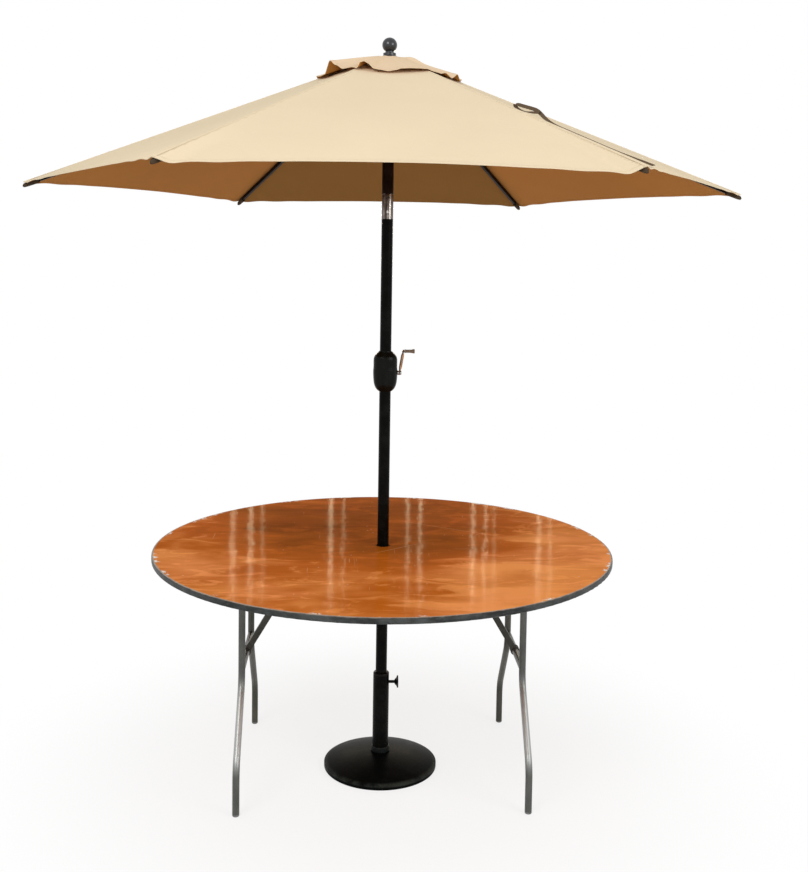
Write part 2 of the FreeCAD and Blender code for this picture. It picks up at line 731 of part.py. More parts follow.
BUTTON_FACE = "-pole_diameter / 2 - button_rise"
FLANGE_FRONT = "-(pole_diameter / 2 - sleeve_wall) + button_travel / 2"
button_head = rod("button_head", "button_diameter", "%s - (%s)" % (FLANGE_FRONT, BUTTON_FACE),
                  ("0", BUTTON_FACE, "button_level"), ALONG_Y)
button_flange = rod("button_flange", "button_diameter + button_travel", "cheek_wall",
                    ("0", FLANGE_FRONT, "button_level"), ALONG_Y)
keep("tilt_button", fuse("button", button_head, button_flange))
spring_start = "%s + cheek_wall" % FLANGE_FRONT
spring_length = num("pole_diameter / 2 - sleeve_wall - spring_wire - (%s)" % spring_start)
coil = Part.makeLongHelix(spring_length / num("spring_turns"), spring_length,
                          num("button_diameter / 2 - spring_wire"))
start = coil.Vertexes[0].Point
ring = Part.Wire([Part.Circle(start, FreeCAD.Vector(0, 1, 0), num("spring_wire / 2")).toShape()])
spring = formed("spring", coil.makePipeShell([ring], True, True))
put(spring, ("0", spring_start + " + spring_wire / 2", "button_level"), ALONG_Y)
keep("button_spring", spring)

# Crank: the shaft with its spool inside the pole, the arm and the free-turning grip
shaft_end = "housing_wide / 2 + soft_gap + crank_boss_length"
shaft = rod("shaft", "shaft_diameter", "%s + pole_diameter / 2 + housing_wall" % shaft_end,
            ("-pole_diameter / 2 - housing_wall", "0", "crank_level"), ALONG_X)
keep("crank_shaft", shaft)
spool = turned("spool", [
    ("shaft_diameter / 2", "-spool_width / 2"),
    ("spool_flange / 2", "-spool_width / 2"),
    ("spool_flange / 2", "-spool_width / 2 + cheek_wall"),
    ("spool_diameter / 2", "-spool_width / 2 + cheek_wall"),
    ("spool_diameter / 2", "spool_width / 2 - cheek_wall"),
    ("spool_flange / 2", "spool_width / 2 - cheek_wall"),
    ("spool_flange / 2", "spool_width / 2"),
    ("shaft_diameter / 2", "spool_width / 2"),
])
pose(spool, ("0", "0", "crank_level"), pitch="90")
keep("cord_spool", spool)
boss_start = "housing_wide / 2 + soft_gap"
boss = rod("crank_hub", "crank_boss", "crank_boss_length", (boss_start, "0", "crank_level"), ALONG_X)
arm_x = "%s + crank_boss_length / 2" % boss_start
arm_length = "sqrt(crank_radius ^ 2 + crank_lean ^ 2)"
arm_bar = block("arm_bar", (arm_length, "crank_bar_wide", "crank_bar_thick"),
                ("(%s) / 2" % arm_length, "0", "-crank_bar_thick / 2"))
arm_low = rod("arm_low", "crank_boss", "crank_bar_thick", ("0", "0", "-crank_bar_thick / 2"))
arm_high = rod("arm_high", "crank_bar_wide", "crank_bar_thick", (arm_length, "0", "-crank_bar_thick / 2"))
arm_plate = pose(fuse("arm_plate", arm_bar, arm_low, arm_high), (arm_x, "0", "crank_level"),
                 pitch="-atan(crank_radius / crank_lean)")
stud_x = "%s + crank_lean" % arm_x
grip_start = "%s + crank_bar_thick" % stud_x
stud_length = "crank_bar_thick + 0.8 * grip_length"
stud = rod("grip_stud", "grip_stud", stud_length, (stud_x, "0", "crank_level + crank_radius"), ALONG_X)
arm_bore = rod("arm_bore", "shaft_diameter", "2 * crank_boss_length",
               ("housing_wide / 2", "0", "crank_level"), ALONG_X)
keep("crank_arm", cut("arm", fuse("arm_body", boss, arm_plate, stud), arm_bore))
grip = turned("grip", [
    ("grip_stud / 2 + turn_gap", "0"),
    ("(grip_waist + grip_end) / 4", "0"),
    ("grip_waist / 2", "grip_length / 3", "-grip_length"),
    ("grip_end / 2", "grip_length - grip_stud / 2", "-2 * grip_length"),
    ("grip_end / 2 - grip_stud / 2", "grip_length", "grip_stud / 2"),
    ("0", "grip_length"),
    ("0", "0.8 * grip_length + soft_gap"),
    ("grip_stud / 2 + turn_gap", "0.8 * grip_length + soft_gap"),
])
pose(grip, (grip_start, "0", "crank_level + crank_radius"), pitch="90")
keep("crank_grip", grip)

# Levels and slopes of the canopy's cloth: each gore is two flat pieces that meet in the seam over the rib
CLOTH_TILT = "atan(tan(%s) / cos(30))"
# The cloth falls away on both sides of the seam, so the seam is raised to clear the rib's top edges
MAIN_LEVEL = ("(hub_level + (rib_high / 2 + soft_gap) / cos(rib_slope) + pivot_radius * tan(rib_slope)"
              " + rib_wide / 2 * tan(rib_slope) * tan(30))")
MAIN_TILT = CLOTH_TILT % "rib_slope"
CAP_SLOPE = "atan((hub_top - vent_shoulder_level) / (vent_shoulder - hub_radius / cos(30)))"
CAP_LEVEL = "hub_top + soft_gap + hub_radius / cos(30) * tan(%s)" % CAP_SLOPE
FINIAL_SEAT = "(%s - vent_bore * cos(30) * tan(%s) + canopy_wall / cos(%s) + soft_gap)" % (
    CAP_LEVEL, CAP_SLOPE, CLOTH_TILT % CAP_SLOPE)
SHOULDER = "(vent_shoulder_level + soft_gap)"
RIM = "(%s - vent_radius * tan(rib_slope) + canopy_wall / cos(%s) + vent_lift)" % (MAIN_LEVEL, MAIN_TILT)
SKIRT_SLOPE = "atan((%s - %s) / (vent_radius - vent_shoulder))" % (SHOULDER, RIM)
SKIRT_LEVEL = "%s + vent_shoulder * tan(%s)" % (SHOULDER, SKIRT_SLOPE)

# Upper mast: pole with its tongue, tilt pin, hub, pulley and finial
upper_bottom = "sleeve_top + tilt_gap"
upper_length = "hub_seat - (%s)" % upper_bottom
upper_rod = rod("upper_rod", "pole_diameter", upper_length, ("0", "0", upper_bottom))
upper_bore = rod("upper_bore", POLE_BORE, upper_length, ("0", "0", upper_bottom))
pulley_level = "hub_bottom - pulley_diameter"
axle_length = "pole_diameter - tilt_gap"
axle_bore = rod("axle_bore", "pin_diameter", axle_length, ("0", "-(%s) / 2" % axle_length, pulley_level),
                ALONG_Y)
upper_tube = cut("upper_tube", upper_rod, upper_bore, axle_bore)
tongue_eye = rod("tongue_eye", "tongue_round", "tongue_wide", ("-tongue_wide / 2", "0", "tilt_level"),
                 ALONG_X)
tongue_bar = block("tongue_bar", ("tongue_wide", "tongue_round", "%s - tilt_level" % upper_bottom),
                   ("0", "0", "tilt_level"))
tongue_plug = rod("tongue_plug_rod", POLE_BORE, "tongue_plug", ("0", "0", upper_bottom))
tongue_bore = rod("tongue_bore", "tilt_pin", "tongue_wide", ("-tongue_wide / 2", "0", "tilt_level"),
                  ALONG_X)
tongue = cut("tongue", fuse("tongue_body", tongue_eye, tongue_bar, tongue_plug), tongue_bore)
keep("upper_pole", group("upper_set", upper_tube, tongue))
pin_length = "pole_diameter - tilt_gap"
keep("tilt_pin", rod("tilt_rod", "tilt_pin", pin_length, ("-(%s) / 2" % pin_length, "0", "tilt_level"),
                     ALONG_X))

pulley = turned("pulley", [
    ("pin_diameter / 2", "-pin_diameter / 2"),
    ("pulley_diameter / 2", "-pin_diameter / 2"),
    ("pulley_diameter / 2", "-pin_diameter / 4"),
    ("pulley_diameter / 2 - pin_diameter / 2", "0"),
    ("pulley_diameter / 2", "pin_diameter / 4"),
    ("pulley_diameter / 2", "pin_diameter / 2"),
    ("pin_diameter / 2", "pin_diameter / 2"),
])
pose(pulley, ("0", "0", pulley_level), roll="-90")
axle = rod("pulley_axle", "pin_diameter", axle_length, ("0", "-(%s) / 2" % axle_length, pulley_level),
           ALONG_Y)
keep("hub_pulley", group("pulley_set", pulley, axle))

hub = turned("hub", [
    ("0", "hub_seat"),
    ("pole_diameter / 2", "hub_seat"),
    ("pole_diameter / 2", "hub_bottom"),
    ("hub_radius", "hub_bottom"),
    ("hub_radius", "hub_top"),
    ("0", "hub_top"),
])


def slots(name, width, root, rim, low, high):
    """Six upright slots round the pole."""
    tools = []
    for index in range(RIBS):
        tool = doc.addObject("Part::Box", "%s_%d" % (name, index))
        bind(tool, Length="%s - %s" % (rim, root), Width=width, Height="%s - (%s)" % (high, low))
        turn = 360 / RIBS * index
        place = ("%s * cos(%s) + (%s) / 2 * sin(%s)" % (root, turn, width, turn),
                 "%s * sin(%s) - (%s) / 2 * cos(%s)" % (root, turn, width, turn), low)
        tools.append(pose(tool, place, yaw=str(turn)))
    return tools


hub_slots = slots("hub_slot", "(rib_wide + 2 * slot_gap)", "slot_root", "2 * hub_radius", "hub_bottom",
                  "hub_top")
finial_bore = rod("finial_bore", "clamp_screw", "hub_top - hub_seat - cheek_wall",
                  ("0", "0", "hub_seat + cheek_wall"))


def wire_ring(name, diameter):
    ring = doc.addObject("Part::Torus", name)
    bind(ring, Radius1="pivot_radius", Radius2="(%s) / 2" % diameter)
    return put(ring, ("0", "0", "hub_level"))


slotted = cut("hub_slotted", hub, finial_bore, wire_ring("ring_way", "wire_diameter"), *hub_slots)
keep("top_hub", group("hub_set", slotted, wire_ring("ring_wire", "wire_diameter")))

keep("finial", turned("finial_turned", [
    ("0", "hub_seat + cheek_wall"),
    ("clamp_screw / 2", "hub_seat + cheek_wall"),
    ("clamp_screw / 2", FINIAL_SEAT),
    ("finial_flare / 2", FINIAL_SEAT),
    ("finial_flare / 2", FINIAL_SEAT + " + cheek_wall / 2"),
    ("finial_collar / 2", FINIAL_SEAT + " + 2 * cheek_wall"),
    ("finial_collar / 2", "finial_top - finial_ball - cheek_wall"),
    ("finial_neck / 2", "finial_top - finial_ball + cheek_wall / 2"),
    ("finial_neck / 2", "finial_top - finial_ball / 2 - sqrt(finial_ball ^ 2 - finial_neck ^ 2) / 2"),
    ("0", "finial_top", "finial_ball / 2"),
]))

# Runner: it slides on the pole; the struts' inner ends lie in its six slots
STRUT_ANGLE = "(rib_slope + atan(strut_drop / strut_reach) / 1 deg)"
STRUT_LENGTH = "sqrt(strut_reach ^ 2 + strut_drop ^ 2)"
RUNNER_PIVOT = "hub_level - 2 * %s * sin(%s)" % (STRUT_LENGTH, STRUT_ANGLE)
RUNNER_LOW = "(%s - runner_below)" % RUNNER_PIVOT
runner_body = turned("runner_turned", [
    ("pole_diameter / 2 + runner_gap", "0"),
    ("runner_radius - runner_gap", "0"),
    ("runner_radius", "runner_gap"),
    ("runner_radius", "runner_height - runner_gap"),
    ("runner_radius - runner_gap", "runner_height"),
    ("pole_diameter / 2 + runner_gap", "runner_height"),
])
runner_slots = slots("runner_slot", "(strut_wide + 2 * slot_gap)", "runner_root", "2 * runner_radius",
                     "0", "runner_height")
runner_grooves = []
groove_wide = "trunnion_diameter + 2 * slot_gap"
groove_long = "strut_wide + 2 * trunnion_reach + 2 * slot_gap"
for index in range(RIBS):
    groove = doc.addObject("Part::Box", "runner_groove_%d" % index)
    bind(groove, Length=groove_wide, Width=groove_long, Height="runner_height")
    turn = 360 / RIBS * index
    inner = "(pivot_radius - (%s) / 2)" % groove_wide
    place = ("%s * cos(%s) + (%s) / 2 * sin(%s)" % (inner, turn, groove_long, turn),
             "%s * sin(%s) - (%s) / 2 * cos(%s)" % (inner, turn, groove_long, turn), "0")
    runner_grooves.append(pose(groove, place, yaw=str(turn)))
key = block("runner_key", ("runner_key_wide", "pole_diameter", "runner_height"),
            ("0", "-runner_gap - runner_key_deep", "0"))
runner = cut("runner_cut", runner_body, key, *(runner_slots + runner_grooves))
pose(group("runner_set", runner), ("0", "0", RUNNER_LOW))
keep("runner", doc.getObject("runner_set"))

# Ribs, struts and canopy: one of each is made towards +X and set round the pole six times
tube_length = "rib_length - rib_neck - rib_cap_length"
rib_outer = block("rib_outer", ("rib_length - rib_cap_length", "rib_wide", "rib_high"),
                  ("(rib_length - rib_cap_length) / 2", "0", "-rib_high / 2"))
rib_eye = rod("rib_eye", "rib_high", "rib_wide", ("0", "-rib_wide / 2", "0"), ALONG_Y)
rib_inner = block("rib_inner", (tube_length, "rib_wide - 2 * rib_wall", "rib_high - 2 * rib_wall"),
                  ("rib_neck + (%s) / 2" % tube_length, "0", "-rib_high / 2 + rib_wall"))
rib_bore = rod("rib_bore", "wire_diameter + 2 * wire_gap", "rib_wide", ("0", "-rib_wide / 2", "0"), ALONG_Y)
rib_tube = cut("rib_tube", fuse("rib_body", rib_outer, rib_eye), rib_inner, rib_bore)
nose = doc.addObject("Part::Wedge", "rib_nose")
bind(nose, Xmin="-rib_wide / 2", Xmax="rib_wide / 2", Zmin="-rib_high / 2", Zmax="rib_high / 2",
     X2min="-rib_wide / 4", X2max="rib_wide / 4", Z2min="-rib_high / 6", Z2max="rib_high / 6",
     Ymin="0", Ymax="rib_cap_length")
pose(nose, ("rib_length - rib_cap_length", "0", "0"), yaw="-90")
nose_spigot = block("nose_spigot", ("rib_high", "rib_wide - 2 * rib_wall", "rib_high - 2 * rib_wall"),
                    ("rib_length - rib_cap_length - rib_high / 2", "0", "-rib_high / 2 + rib_wall"))
rib_cap = fuse("rib_cap", nose, nose_spigot)
clip_length = "strut_high + rib_high"
clip_low = "-strut_drop - strut_high / 2"
clip_parts = [block("clip_cheek_%d" % k, (clip_length, "clip_wall",
                                          "strut_drop + strut_high / 2 + clip_wall"),
                    ("strut_reach", "%d * (rib_wide + clip_wall) / 2" % way, clip_low)) for k,
              way in enumerate((-1, 1))]
clip_web = block("clip_web", (clip_length, "rib_wide + 2 * clip_wall", "clip_wall"),
                 ("strut_reach", "0", "-rib_high / 2 - clip_wall"))
rivet_length = "rib_wide + 4 * clip_wall"
rivet = rod("clip_rivet", "trunnion_diameter", rivet_length,
            ("strut_reach", "-(%s) / 2" % rivet_length, "-strut_drop"), ALONG_Y)
rib_clip = cut("rib_clip", fuse("clip_body", clip_web, *clip_parts), rivet)

strut_outer = block("strut_outer", (STRUT_LENGTH, "strut_wide", "strut_high"),
                    ("%s / 2" % STRUT_LENGTH, "0", "-strut_high / 2"))
strut_eyes = [rod("strut_eye_%d" % k, "strut_high", "strut_wide", (at, "-strut_wide / 2", "0"), ALONG_Y)
              for k, at in enumerate(("0", STRUT_LENGTH))]
strut_space = "(%s - 3 * strut_high)" % STRUT_LENGTH
strut_inner = block("strut_inner", (strut_space, "strut_wide - 2 * strut_wall",
                                    "strut_high - 2 * strut_wall"),
                    ("%s / 2" % STRUT_LENGTH, "0", "-strut_high / 2 + strut_wall"))
strut_bore = rod("strut_bore", "trunnion_diameter + 2 * turn_gap", "strut_wide",
                 ("0", "-strut_wide / 2", "0"), ALONG_Y)
trunnion_length = "strut_wide + 2 * trunnion_reach"
trunnion = rod("strut_trunnion", "trunnion_diameter", trunnion_length,
               (STRUT_LENGTH, "-(%s) / 2" % trunnion_length, "0"), ALONG_Y)
strut_body = cut("strut_body", fuse("strut_solid", strut_outer, trunnion, *strut_eyes), strut_inner,
                 strut_bore)


def half_gore(name, way, points, slope, level):
    """Cloth between a rib and the middle of its gore: an upright prism of its outline in a sloping slab."""
    body = doc.addObject("PartDesign::Body", name)
    placed = []
    for point in points:
        across = "0" if point[1] == "0" else "%d * (%s)" % (way, point[1])
        placed.append((point[0], across) + tuple("%d * %s" % (-way, radius) for radius in point[2:]))
    sketch = outline(body, name + "_plan", "XY_Plane", placed)
    doc.recompute()
    pad = body.newObject("PartDesign::Pad", name + "_prism")
    pad.Profile = sketch
    pad.setExpression("Length", bound("hub_level * 0.6"))
    put(body, ("0", "0", "hub_level * 0.6"))
    slab = doc.addObject("Part::Box", name + "_slab")
    bind(slab, Length="1.2 * canopy_radius", Width="2 * canopy_radius", Height="canopy_wall")
    chain(slab, ("0", "0", level, str(30 * way), CLOTH_TILT % slope, "0"),
          ("0", "-canopy_radius", "0", "0", "0", "0"))
    return common(name + "_cloth", body, slab)


def middle_of_gore(distance):
    """A point at a distance from the pole, beside the seam between two gores."""
    return ("(%s) * cos(30) + soft_gap / 2 * sin(30)" % distance,
            "(%s) * sin(30) - soft_gap / 2 * cos(30)" % distance)


def hem_arc(radius, dip):
    return "(%s ^ 2 / (8 * %s) + %s / 2)" % (radius, dip, dip)


cloth = []
for way, hand in ((1, "left"), (-1, "right")):
    hem = middle_of_gore("canopy_radius * cos(30) - canopy_scallop")
    rim = middle_of_gore("vent_radius * cos(30) - vent_scallop")
    shoulder = middle_of_gore("vent_shoulder * cos(30)")
    cloth.append(half_gore("panel_" + hand, way, [
        ("vent_hole", "0"),
        ("canopy_radius", "0"),
        hem + (hem_arc("canopy_radius", "canopy_scallop"),),
        middle_of_gore("vent_hole * cos(30)"),
    ], "rib_slope", MAIN_LEVEL))
    cloth.append(half_gore("vent_cap_" + hand, way, [
        ("vent_bore", "0"),
        ("vent_shoulder", "0"),
        shoulder,
        middle_of_gore("vent_bore * cos(30)"),
    ], CAP_SLOPE, CAP_LEVEL))
    cloth.append(half_gore("vent_skirt_" + hand, way, [
        ("vent_shoulder", "0"),
        ("vent_radius", "0"),
        rim + (hem_arc("vent_radius", "vent_scallop"),),
        shoulder,
    ], SKIRT_SLOPE, SKIRT_LEVEL))
tack_x = "vent_radius - 5 * vent_tack"
tack_low = "%s - (%s) * tan(rib_slope)" % (MAIN_LEVEL, tack_x)
tack_high = "%s - (%s) * tan(%s)" % (SKIRT_LEVEL, tack_x, SKIRT_SLOPE)
cloth.append(block("vent_tack_stitch", ("vent_tack", "vent_tack", "%s - (%s)" % (tack_high, tack_low)),
                   (tack_x, "0", "%s + canopy_wall / 2" % tack_low)))
gore = fuse("gore", *cloth)

for index in range(RIBS):
    turn = str(360 / RIBS * index)
    number = index + 1
    around = ("0", "0", "0", turn, "0", "0")
    hinge = ("pivot_radius", "0", "hub_level", "0", "rib_slope", "0")
    elbow = ("strut_reach",
             "0", "-strut_drop", "0", "180 - 2 * rib_slope - atan(strut_drop / strut_reach) / 1 deg", "0")
    keep("rib_%d" % number, chain(group("rib_set_%d" % number, rib_tube, rib_cap, rib_clip, rivet),
                                  around, hinge))
    keep("strut_%d" % number, chain(group("strut_set_%d" % number, strut_body), around, hinge, elbow))
    keep("canopy_%d" % number, chain(group("canopy_set_%d" % number, gore), around))

# Closing strap, which lies on the gore beside the front right rib
ridge = "-atan(sin(30) * cos(rib_slope) / (cos(30) * cos(rib_slope) * cos(%s) + sin(rib_slope) * sin(%s)))"
ridge = ridge % (MAIN_TILT, MAIN_TILT)
belt = doc.addObject("Part::Box", "belt")
bind(belt, Length="belt_length", Width="belt_width", Height="belt_wall")
belt_level = "%s + (canopy_wall + soft_gap) / cos(%s)" % (MAIN_LEVEL, MAIN_TILT)
chain(belt, ("0", "0", "0", "300", "0", "0"), ("0", "0", belt_level, "30", MAIN_TILT, "0"),
      ("0", "0", "0", ridge, "0", "0"), ("belt_start", "belt_offset", "0", "belt_skew", "0", "0"))
keep("closing_strap", belt)

# Checks, then one STEP file for each sub-part
doc.recompute()
for item in doc.Objects:
    bad = [word for word in item.State if word in ("Invalid", "Error")]
    if bad:
        raise RuntimeError("%s is %s" % (item.Name, bad[0]))
for node, item in PIECES.items():
    shape = item.Shape
    if shape.isNull() or not shape.isValid() or not shape.Solids:
        raise RuntimeError("%s has no sound solid" % node)
    if item.Label != node:
        raise RuntimeError("%s is labelled %s" % (node, item.Label))
    if min(solid.Volume for solid in shape.Solids) <= 0:
        raise RuntimeError("%s has an empty solid" % node)
os.makedirs("parts", exist_ok=True)
for node, item in PIECES.items():
    item.Shape.exportStep("parts/%s.step" % node)
    box = item.Shape.BoundBox
    print("%-18s %2d solids %10.0f mm3  x %8.1f %8.1f  y %8.1f %8.1f  z %8.1f %8.1f" % (
        node, len(item.Shape.Solids), item.Shape.Volume, box.XMin, box.XMax, box.YMin, box.YMax,
        box.ZMin, box.ZMax))
print(len(PIECES), "sub-parts")
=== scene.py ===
import math

import bpy
import numpy as np
from bpy.props import FloatProperty, FloatVectorProperty, PointerProperty
from mathutils import Matrix, Vector


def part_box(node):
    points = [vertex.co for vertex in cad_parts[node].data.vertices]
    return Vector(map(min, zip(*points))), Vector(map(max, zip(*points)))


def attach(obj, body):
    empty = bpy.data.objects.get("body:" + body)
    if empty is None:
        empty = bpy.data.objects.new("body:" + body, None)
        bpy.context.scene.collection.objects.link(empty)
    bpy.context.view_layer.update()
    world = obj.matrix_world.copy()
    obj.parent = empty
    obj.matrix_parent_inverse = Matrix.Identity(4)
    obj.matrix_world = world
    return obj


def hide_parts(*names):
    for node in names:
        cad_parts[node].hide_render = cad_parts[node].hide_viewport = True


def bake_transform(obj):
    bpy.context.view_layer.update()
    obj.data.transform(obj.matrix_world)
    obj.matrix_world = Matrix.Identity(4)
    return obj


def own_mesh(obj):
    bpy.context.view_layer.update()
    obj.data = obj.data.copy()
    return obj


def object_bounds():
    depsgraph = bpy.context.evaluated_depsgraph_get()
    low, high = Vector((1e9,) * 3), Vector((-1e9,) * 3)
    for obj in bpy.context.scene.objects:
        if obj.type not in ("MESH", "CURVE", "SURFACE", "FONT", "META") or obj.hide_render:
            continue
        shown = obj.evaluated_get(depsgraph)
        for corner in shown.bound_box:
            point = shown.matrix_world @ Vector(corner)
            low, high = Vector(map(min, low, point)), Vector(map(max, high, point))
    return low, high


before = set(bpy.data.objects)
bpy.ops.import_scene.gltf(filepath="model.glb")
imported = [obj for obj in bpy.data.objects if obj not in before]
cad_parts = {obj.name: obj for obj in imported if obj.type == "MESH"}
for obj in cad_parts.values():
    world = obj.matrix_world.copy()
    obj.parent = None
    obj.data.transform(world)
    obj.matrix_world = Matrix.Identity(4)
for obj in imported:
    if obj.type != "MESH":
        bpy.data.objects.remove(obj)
CAD_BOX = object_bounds()

bl_info = {
    "name": "Umbrella Table",
    "version": (1, 0, 0),
    "blender": (4, 5, 0),
    "location": "View3D > Sidebar > Umbrella Table",
    "description": "Dresses the packed umbrella table with its cloth, finishes and studio",
    "category": "Object",
}

RIBS = 6
SECTOR = math.radians(60)
HALF = SECTOR / 2
SIDES = ((1, "left"), (-1, "right"))
EVEN = (1, 1, 1)
# Distance of the ribs' hinges from the pole's axis.
PIVOT_RADIUS = 0.035
# Distances between the weave's threads and between stitches, and of the stitches from hem and seam.
THREAD_PITCH = 0.0011
STITCH_PITCH = 0.0045
HEM_STITCHES = 0.0135
SEAM_STITCHES = 0.0065


class Value:
    """A node's output socket. Python's operators on it add Math nodes."""

    def __init__(self, finish, socket):
        self.finish = finish
        self.socket = socket

    def math(self, operation, *others):
        return self.finish.math(operation, self, *others)

    def __add__(self, other):
        return self.math("ADD", other)

    __radd__ = __add__

    def __sub__(self, other):
        return self.math("SUBTRACT", other)

    def __rsub__(self, other):
        return self.finish.math("SUBTRACT", other, self)

    def __mul__(self, other):
        return self.math("MULTIPLY", other)

    __rmul__ = __mul__

    def __abs__(self):
        return self.math("ABSOLUTE")

    def most(self, other):
        return self.math("MAXIMUM", other)

    def eased(self, low, high, start=0.0, end=1.0):
        """Smooth step from start at low to end at high."""
        return self.finish.node("ShaderNodeMapRange", {"interpolation_type": "SMOOTHSTEP"},
                                {0: self, 1: low, 2: high, 3: start, 4: end})

    def ramp(self, *stops):
        """Colours by place: each stop is (place, (red, green, blue))."""
        return self.finish.node("ShaderNodeValToRGB", {"stops": stops}, {0: self})


class Finish:
    """A material in the making: a Principled shader and the nodes that feed it, or a world."""

    def __init__(self, name, gloss=0.5, metal=0.0, world=False):
        self.material = (bpy.data.worlds if world else bpy.data.materials).new(name)
        self.material.use_nodes = True
        self.tree = self.material.node_tree
        self.tree.nodes.clear()
        self.place = None
        self.output = self.tree.nodes.new("ShaderNodeOutput" + ("World" if world else "Material"))
        if not world:
            self.shader = self.tree.nodes.new("ShaderNodeBsdfPrincipled")
            self.feed(self.shader, {"Specular IOR Level": gloss, "Metallic": metal})
            self.shaded = Value(self, self.shader.outputs[0])
            self.surface(self.shaded)

    def surface(self, value):
        """Links a shader to the output in place of the one before."""
        self.tree.links.new(value.socket, self.output.inputs["Surface"])

    def seen(self):
        """One where a ray comes from the camera, a gloss or a clear body, and else nothing."""
        rays = self.node("ShaderNodeLightPath").socket.node.outputs
        camera, gloss, clear = (Value(self, rays[key]) for key in (
            "Is Camera Ray", "Is Glossy Ray", "Is Transmission Ray"))
        return camera.most(gloss).most(clear)

    def feed(self, target, inputs):
        """Sets or links a node's sockets."""
        for key, value in inputs.items():
            socket = target.inputs[key]
            if isinstance(value, Value):
                self.tree.links.new(value.socket, socket)
            elif hasattr(value, "__len__") and socket.type == "RGBA":
                socket.default_value = (*value, 1.0)
            else:
                socket.default_value = value

    def node(self, kind, settings=(), inputs=(), output=0):
        """Adds a node of a type, with its settings first and then its sockets' values or links."""
        made = self.tree.nodes.new(kind)
        for key, value in dict(settings).items():
            if key == "stops":
                elements = made.color_ramp.elements
                elements.remove(elements[-1])
                elements[0].position = value[0][0]
                elements[0].color = (*value[0][1], 1.0)
                for place, colour in value[1:]:
                    elements.new(place).color = (*colour, 1.0)
            else:
                setattr(made, key, value)
        self.feed(made, dict(inputs))
        return Value(self, made.outputs[output])

    def math(self, operation, *values):
        return self.node("ShaderNodeMath", {"operation": operation}, dict(enumerate(values)))

    def at(self, scale=EVEN, turn=(0, 0, 0), shift=(0, 0, 0), source=None):
        """Object coordinates, or another vector, scaled, turned and shifted."""
        if self.place is None:
            self.place = self.node("ShaderNodeTexCoord", output="Object")
        return self.node("ShaderNodeMapping", (), {"Vector": source or self.place, "Location": shift,
                                                   "Rotation": turn, "Scale": scale})

    def uv(self, scale=EVEN):
        """The cloth's own UV map, in metres along its threads."""
        return self.at(scale, source=self.node("ShaderNodeUVMap", {"uv_map": "Cloth"}))

    def noise(self, where, scale, detail=4.0, rough=0.55, lean=0.0):
        """Noise over a vector, or over Object coordinates with a scale for each axis."""
        if not isinstance(where, Value):
            where = self.at(where)
        return self.node("ShaderNodeTexNoise", (), {"Vector": where, "Scale": scale, "Detail": detail,
                                                    "Roughness": rough, "Distortion": lean})

    def stripes(self, where, scale, lean=0.0, direction="X", detail=0.0):
        return self.node("ShaderNodeTexWave", {"bands_direction": direction},
                         {"Vector": where, "Scale": scale, "Distortion": lean, "Detail": detail}, "Fac")

    def mix(self, share, first, second, blend="MIX"):
        """Colours mixed by a share from 0 to 1."""
        return self.node("ShaderNodeMix", {"data_type": "RGBA", "blend_type": blend},
                         {0: share, 6: first, 7: second}, 2)

    def split(self):
        """The three Object coordinates."""
        parts = self.node("ShaderNodeSeparateXYZ", (), {0: self.at()}).socket.node
        return [Value(self, parts.outputs[k]) for k in range(3)]

    def attribute(self, name):
        return self.node("ShaderNodeAttribute", {"attribute_name": name}, (), "Fac")

    def bump(self, height, distance, strength=1.0, after=None):
        inputs = {"Height": height, "Distance": distance, "Strength": strength}
        if after is not None:
            inputs["Normal"] = after
        return self.node("ShaderNodeBump", (), inputs)

    def done(self, base, rough, normal=None):
        """Feeds the shader its colour, its roughness and, where there is one, its normal."""
        inputs = {"Base Color": base, "Roughness": rough}
        if normal is not None:
            inputs["Normal"] = normal
        self.feed(self.shader, inputs)
        return self.material


def in_metres(name, default, description):
    return FloatProperty(name=name, description=description, default=default, unit="LENGTH")


def in_degrees(name, degrees, description):
    return FloatProperty(
        name=name, description=description, default=math.radians(degrees), subtype="ANGLE")


def as_colour(name, default, description):
    return FloatVectorProperty(
        name=name, description=description, default=default, subtype="COLOR", size=3)


def as_light(name, default, description):
    return FloatProperty(name=name, description=description, default=default, min=0)


class CanopySizes(bpy.types.PropertyGroup):
    slope: in_degrees("Rib slope", 20.2, "Fall of the ribs below the horizontal")
    apex_level: in_metres("Apex level", 2.39161, "Height where the gores' undersides meet on the axis")
    radius: in_metres("Corner radius", 1.183, "Distance of the canopy's corners from the pole")
    scallop: in_metres("Scallop", 0.024, "How far the hem curves in between two corners")
    hole: in_metres("Vent hole", 0.14, "Distance of the wind vent's corners from the pole")
    thickness: in_metres("Cloth thickness", 0.0009, "Thickness of one layer of cloth")
    sag: in_metres("Sag", 0.007, "How far the middle of a gore hangs below its flat")
    front_drop: in_metres("Front hem drop", 0.01, "Hang of the slack front hem in its middle")
    corner_drop: in_metres("Front corner drop", 0.017, "Hang of the slack front hem beside its corners")
    pleat_lean: in_degrees("Pleat lean", 28.2, "Turn of the line on which the folding cloth gathers")


class VentSizes(bpy.types.PropertyGroup):
    bore: in_metres("Bore", 0.0125, "Radius of the hole round the finial's neck")
    level: in_metres("Level", 2.3829, "Height where the cap's underside meets the axis")
    slope: FloatProperty(name="Slope", description="Fall of the cap before its shoulder", default=0.0863)
    crown: in_metres("Crown radius", 0.072, "Where the crown ends and the flaps begin")
    radius: in_metres("Corner radius", 0.238, "Distance of the cap's corners from the pole")


